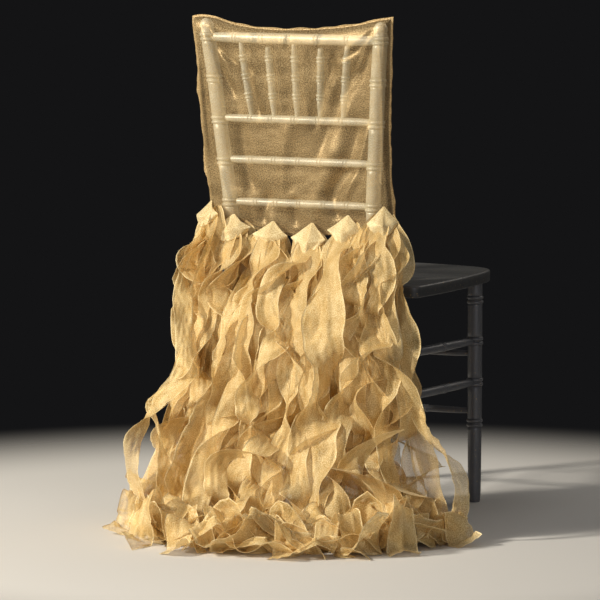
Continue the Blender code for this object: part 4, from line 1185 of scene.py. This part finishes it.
# A ribbon's rough surface, to count where ribbons cross
def roughTree(frames, width):
    points, faces = [], []
    for f in frames[::3]:
        half = f["across"] * (width * (ribbon["root"] + (1 - ribbon["root"]) * f["wide"]) / 2)
        points += [f["middle"] - half, f["middle"] + half]
    for i in range(0, len(points) - 2, 2):
        faces.append((i, i + 1, i + 3, i + 2))
    return BVHTree.FromPolygons(points, faces)


# The folded head over the ribbons' roots, a kite: straight slopes from the apex to two corners, then a band
# that ends in a rolled lower edge, standing out over the roots. Its cloth is doubled, so more solid and paler.
hood = {
    "tall": 0.0470, "tallShare": (0.92, 1.14), "deep": 0.0270, "broad": 1.08, "corner": 0.66, "narrow": 0.18,
    "top": 0.05, "flare": 0.94, "rise": 0.30, "slope": (-0.20, 0.20),
    "lean": (-0.30, 0.30), "leanTop": 0.4, "leanRidge": 0.6, "leanBand": 0.8,
    "band": 0.60, "bandBow": 0.12, "tuckIn": (-0.10, 0.06), "rounding": 0.56, "blunt": 0.3, "thin": 0.06,
    "off": 0.0018, "fold": 0.0032, "foldFirst": (2.3, 1.7), "foldSecond": (3.9, 2.6), "foldShare": 0.6,
    "foldBase": 0.9, "crush": (2.0, 2.5), "crushShare": 1.2,
    "roll": 0.0016, "rollLong": 0.006, "rollTurn": 1.2, "clear": 0.0008,
    "columns": 40, "rows": 30, "rollRows": 6, "doubled": 0.60, "edge": 0.85, "flatWide": 0.07,
}


def hoodGrid(bunch, dice):
    apex, facing, across = bunchFrame(bunch)
    lean, start = dice.uniform(*hood["lean"]), dice.uniform(*anyPhase)
    tall = hood["tall"] * dice.uniform(*hood["tallShare"])
    slope, tuckIn = dice.uniform(*hood["slope"]), dice.uniform(*hood["tuckIn"])
    apex = apex + across * bunch["nudge"] - up * bunch["lower"]
    half = bunch["half"] * bunch["broad"] * hood["broad"]
    rows, corner = hood["rows"], hood["corner"]
    grid, cut, rim = [], [], []
    for j in range(rows + hood["rollRows"] + 1):
        v = min(j / rows, 1.0)
        under = max(j - rows, 0) / hood["rollRows"]
        turn = under * math.pi * hood["rollTurn"]
        row, flatRow = [], []
        for i in range(hood["columns"] + 1):
            u = 2 * i / hood["columns"] - 1
            spread = hood["top"] + (1 - hood["top"]) * min(v / corner, 1.0) ** hood["flare"]
            spread *= 1 - hood["narrow"] * max(v - corner, 0.0) / (1 - corner)
            sideways = half * (u * spread + lean * (1 - v) * hood["leanTop"])
            drop = tall * v * (1 - hood["rise"] * u * u * v + slope * u * v)
            # Highest along a ridge, up to the fold of the band
            ridge = abs(u - lean * hood["leanRidge"])
            dome = 1 - hood["rounding"] * (ridge * (1 - hood["blunt"]) + hood["blunt"] * ridge * ridge)
            band = hood["band"] - hood["bandBow"] * u * u + lean * u * hood["leanBand"]
            far = v / band if v < band else 1 - tuckIn * (v - band) / (1 - band)
            out = hood["off"] + hood["deep"] * max(dome, hood["thin"]) * far
            first = abs(math.sin(hood["foldFirst"][0] * u + hood["foldFirst"][1] * v + start))
            second = abs(math.sin(hood["foldSecond"][0] * u - hood["foldSecond"][1] * v + 2 * start))
            fold = first + hood["foldShare"] * second - hood["foldBase"]
            crush = Vector((u * hood["crush"][0], v * hood["crush"][1], start))
            fold += noise.noise(crush) * hood["crushShare"]
            out += hood["fold"] * fold * v
            drop += hood["roll"] * math.sin(turn)
            out -= hood["roll"] * (1 - math.cos(turn))
            row.append(apex + across * sideways - up * drop + facing * out)
            flatRow.append((sideways, drop + under * hood["rollLong"]))
        grid.append(row)
        cut.append(flatRow)
        rim.append([hood["edge"] if j > rows - 2 else hood["doubled"]] * len(row))
    # It stands clear of the panel behind it
    shift = 1.0
    for row in grid:
        for p in row:
            top = readTable(topSeam, "x", "z", p.x)
            shift = min(shift, panelY(p.x, max(p.z, hemHeight(p.x)), top, -1, backCreases) - p.y)
    move = Vector((0, min(shift - hood["clear"], 0.0), 0))
    return [[p + move for p in row] for row in grid], cut, rim


def solidTrees():
    trees = []
    for name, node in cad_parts.items():
        if not name.startswith("bunch"):
            corners = [v.co for v in node.data.vertices]
            trees.append(BVHTree.FromPolygons(corners, [tuple(p.vertices) for p in node.data.polygons]))
    return trees


def cornerTree(node):
    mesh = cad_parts[node].data
    corners = KDTree(len(mesh.vertices))
    for i, v in enumerate(mesh.vertices):
        corners.insert(v.co, i)
    corners.balance()
    return corners


def addRibbon(work, trees, frames, width, name, free=0.0, loose=False):
    shifted, s = [], 0.0
    for k, f in enumerate(frames):
        s += (f["middle"] - frames[k - 1]["middle"]).length if k else 0.0
        shift = work["nudge"] * (1 - smooth((s - moved["from"]) / moved["over"]))
        if not loose:
            shift += work["tuck"] * smooth((moved["tuckFrom"] - f["middle"].z) / moved["tuckOver"])
        shifted.append(dict(f, middle=f["middle"] + shift))
    grid, cut, rim, length = ribbonGrid(shifted, width, random.Random(name + "_look"), free)
    # Each ribbon is cut from its own place on the cloth
    beside = len(work["made"]) * ribbon["beside"]
    addGrid(work["cloth"], grid, [[(x + beside, y) for x, y in row] for row in cut], rim)
    work["made"].append({"wide": width, "long": length})
    trees.append(roughTree(shifted, width))


def addFoundStrips(kept, trees):
    for layer in range(len(layers)):
        laneNumber = 0
        for bunch in bunches:
            corners = cornerTree(bunch["node"])
            for i in range(2):
                laneNumber += strips["laneStep"]
                lane, name = 2 * i - 1, f"{bunch['node']}_strip_{layer + 1}_{i + 1}"
                nature = findNature(bunch, lane, layer, name, laneNumber, corners)
                if nature is None:
                    continue
                frames = stripFrames(bunch, lane, layer, nature, (strips["sections"] - 1) * strips["finer"] + 1)
                start = dict(frames[0], middle=frames[0]["middle"] + up * strips["startUp"])
                wide, free = layers[layer]["shown"] * nature["wide"], -1.0 if (layer + i) % 2 else 1.0
                addRibbon(kept[bunch["node"]], trees, [start] + frames, wide, name, free)
    print("stage: ribbons of the solids found again,", len(trees))


# Of a few trials, a further ribbon takes the course that crosses the fewest others, and the chair least of all
def addCurtain(kept, trees):
    blocks = solidTrees()
    for bunch in bunches:
        node = bunch["node"]
        owns = [curtainNature(bunch, number) for number in range(curtain[node]["count"])]
        owns += [dict(own, front=False) for own in looseRibbons if own["node"] == node]
        for number, own in enumerate(owns):
            best = None
            for trial in range(curtainRibbon["trials"]):
                frames = curtainFrames(bunch, number, own, random.Random(f"{node}_curtain_{number}_{trial}"))
                tree = roughTree(frames[curtainRibbon["rootFrames"]:], own["wide"])
                bad = sum(len(tree.overlap(block)) for block in blocks) * curtainRibbon["chairWeight"]
                bad += sum(len(tree.overlap(other)) for other in trees)
                if best is None or bad < best[0]:
                    best = (bad, frames)
            name = f"{node}_curtain_{number}"
            addRibbon(kept[node], trees, best[1], own["wide"], name, loose="course" in own)


def buildBunches():
    trees, kept = [], {}
    for bunch in bunches:
        kept[bunch["node"]] = {"cloth": newCloth(), "made": [], "nudge": bunchFrame(bunch)[2] * bunch["nudge"],
                               "tuck": Vector((bunch["tuck"], 0, 0))}
    addFoundStrips(kept, trees)
    addCurtain(kept, trees)
    for node, work in kept.items():
        bunch = next(row for row in bunches if row["node"] == node)
        cloth, made = work["cloth"], work["made"]
        addGrid(cloth, *hoodGrid(bunch, random.Random(node + "_hood")))
        piece = clothPiece("ribbon_" + node, cloth, ribbonCloth, node)


buildBunches()


# Stage: a pale round floor that fades into the dark room, soft lights and the camera
# The floor is matt studio paper, rolled flat: even, pale and without gloss near the chair. From 0.8 m to 1.45 m
# out it turns see-through into the dark room, a painted pool of light round the chair.

floor = {"radius": 3.0, "sides": 96, "x": 0.03, "y": -0.06, "under": 0.0002, "pale": "dedbd5", "rough": 0.85,
         "paintedPoolFrom": 0.80, "paintedPoolTo": 1.45}
room = {"seen": "141415", "light": "f4f2ee", "fill": 0.035}
lamps = (
    {"name": "key", "at": (-2.7, -3.4, 2.5), "size": 0.5, "power": 312, "colour": "fff8ec"},
    {"name": "fill", "at": (3.2, -2.8, 1.2), "size": 1.4, "power": 20, "colour": "f6f6ff"},
    {"name": "behind", "at": (0.9, 2.2, 2.0), "size": 1.2, "power": 9, "colour": "fff6ea"},
    {"name": "above", "at": (-0.2, -0.4, 3.2), "size": 1.6, "power": 10, "colour": "ffffff"},
)
aimPoint = Vector((0.0, -0.08, 0.42))


def studioPaper():
    made = bpy.data.materials.new("matt_studio_paper")
    made.use_nodes = True
    tree = made.node_tree
    skin = tree.nodes["Principled BSDF"]
    skin.inputs["Base Color"].default_value = linear(floor["pale"])
    skin.inputs["Roughness"].default_value = floor["rough"]
    place = addNode(tree, "ShaderNodeTexCoord").outputs["Object"]
    # Painted pool of light: the paper fades out away from its centre, as if the lamps lit only round the chair
    away = addNode(tree, "ShaderNodeVectorMath", {0: place}, operation="LENGTH").outputs[1]
    fade = addNode(tree, "ShaderNodeMapRange", {0: away, 1: floor["paintedPoolFrom"], 2: floor["paintedPoolTo"]},
                   interpolation_type="SMOOTHSTEP").outputs[0]
    clear = addNode(tree, "ShaderNodeBsdfTransparent")
    mixed = addNode(tree, "ShaderNodeMixShader", {0: fade, 1: skin.outputs[0], 2: clear.outputs[0]})
    tree.links.new(mixed.outputs[0], tree.nodes["Material Output"].inputs[0])
    return made


def buildFloor():
    sides, radius = floor["sides"], floor["radius"]
    turns = [fullTurn * i / sides for i in range(sides)]
    points = [(0, 0, 0)] + [(math.cos(turn) * radius, math.sin(turn) * radius, 0) for turn in turns]
    mesh = bpy.data.meshes.new("floor")
    mesh.from_pydata(points, [], [(0, 1 + i, 1 + (i + 1) % sides) for i in range(sides)])
    mesh.materials.append(studioPaper())
    ground = bpy.data.objects.new("floor", mesh)
    ground.location = (floor["x"], floor["y"], -floor["under"])
    bpy.context.scene.collection.objects.link(ground)


def buildLights():
    for lamp in lamps:
        data = bpy.data.lights.new(lamp["name"], "AREA")
        data.shape = "DISK"
        data.size = lamp["size"]
        data.energy = lamp["power"]
        data.color = linear(lamp["colour"])[:3]
        light = bpy.data.objects.new(lamp["name"], data)
        light.location = lamp["at"]
        light.rotation_mode = "QUATERNION"
        light.rotation_quaternion = (aimPoint - light.location).to_track_quat("-Z", "Y")
        bpy.context.scene.collection.objects.link(light)
    world = bpy.data.worlds.new("room")
    bpy.context.scene.world = world
    world.use_nodes = True
    tree = world.node_tree
    tree.nodes.clear()
    ray = addNode(tree, "ShaderNodeLightPath").outputs["Is Camera Ray"]
    seen = addNode(tree, "ShaderNodeBackground", {0: linear(room["seen"]), 1: 1.0})
    fill = addNode(tree, "ShaderNodeBackground", {0: linear(room["light"]), 1: room["fill"]})
    both = addNode(tree, "ShaderNodeMixShader", {0: ray, 1: fill.outputs[0], 2: seen.outputs[0]})
    addNode(tree, "ShaderNodeOutputWorld", {0: both.outputs[0]})


camera = {"at": (3.8089, -7.8300, 1.3436), "azimuth": 26.0, "elevation": 6.165, "lens": 288.7, "sensor": 36.0,
          "clip": (0.1, 60.0)}


def buildCamera():
    a, e = math.radians(camera["azimuth"]), math.radians(camera["elevation"])
    forward = Vector((-math.sin(a) * math.cos(e), math.cos(a) * math.cos(e), -math.sin(e)))
    data = bpy.data.cameras.new("camera")
    data.lens = camera["lens"]
    data.sensor_width = camera["sensor"]
    data.clip_start, data.clip_end = camera["clip"]
    view = bpy.data.objects.new("camera", data)
    view.location = camera["at"]
    view.rotation_mode = "QUATERNION"
    view.rotation_quaternion = forward.to_track_quat("-Z", "Y")
    bpy.context.scene.collection.objects.link(view)
    bpy.context.scene.camera = view


buildFloor()
buildLights()
buildCamera()
scene = bpy.context.scene
scene.view_settings.view_transform = "Standard"
scene.cycles.transparent_max_bounces = 32  # many sheer layers lie behind each other
print("stage: room, lights and camera")
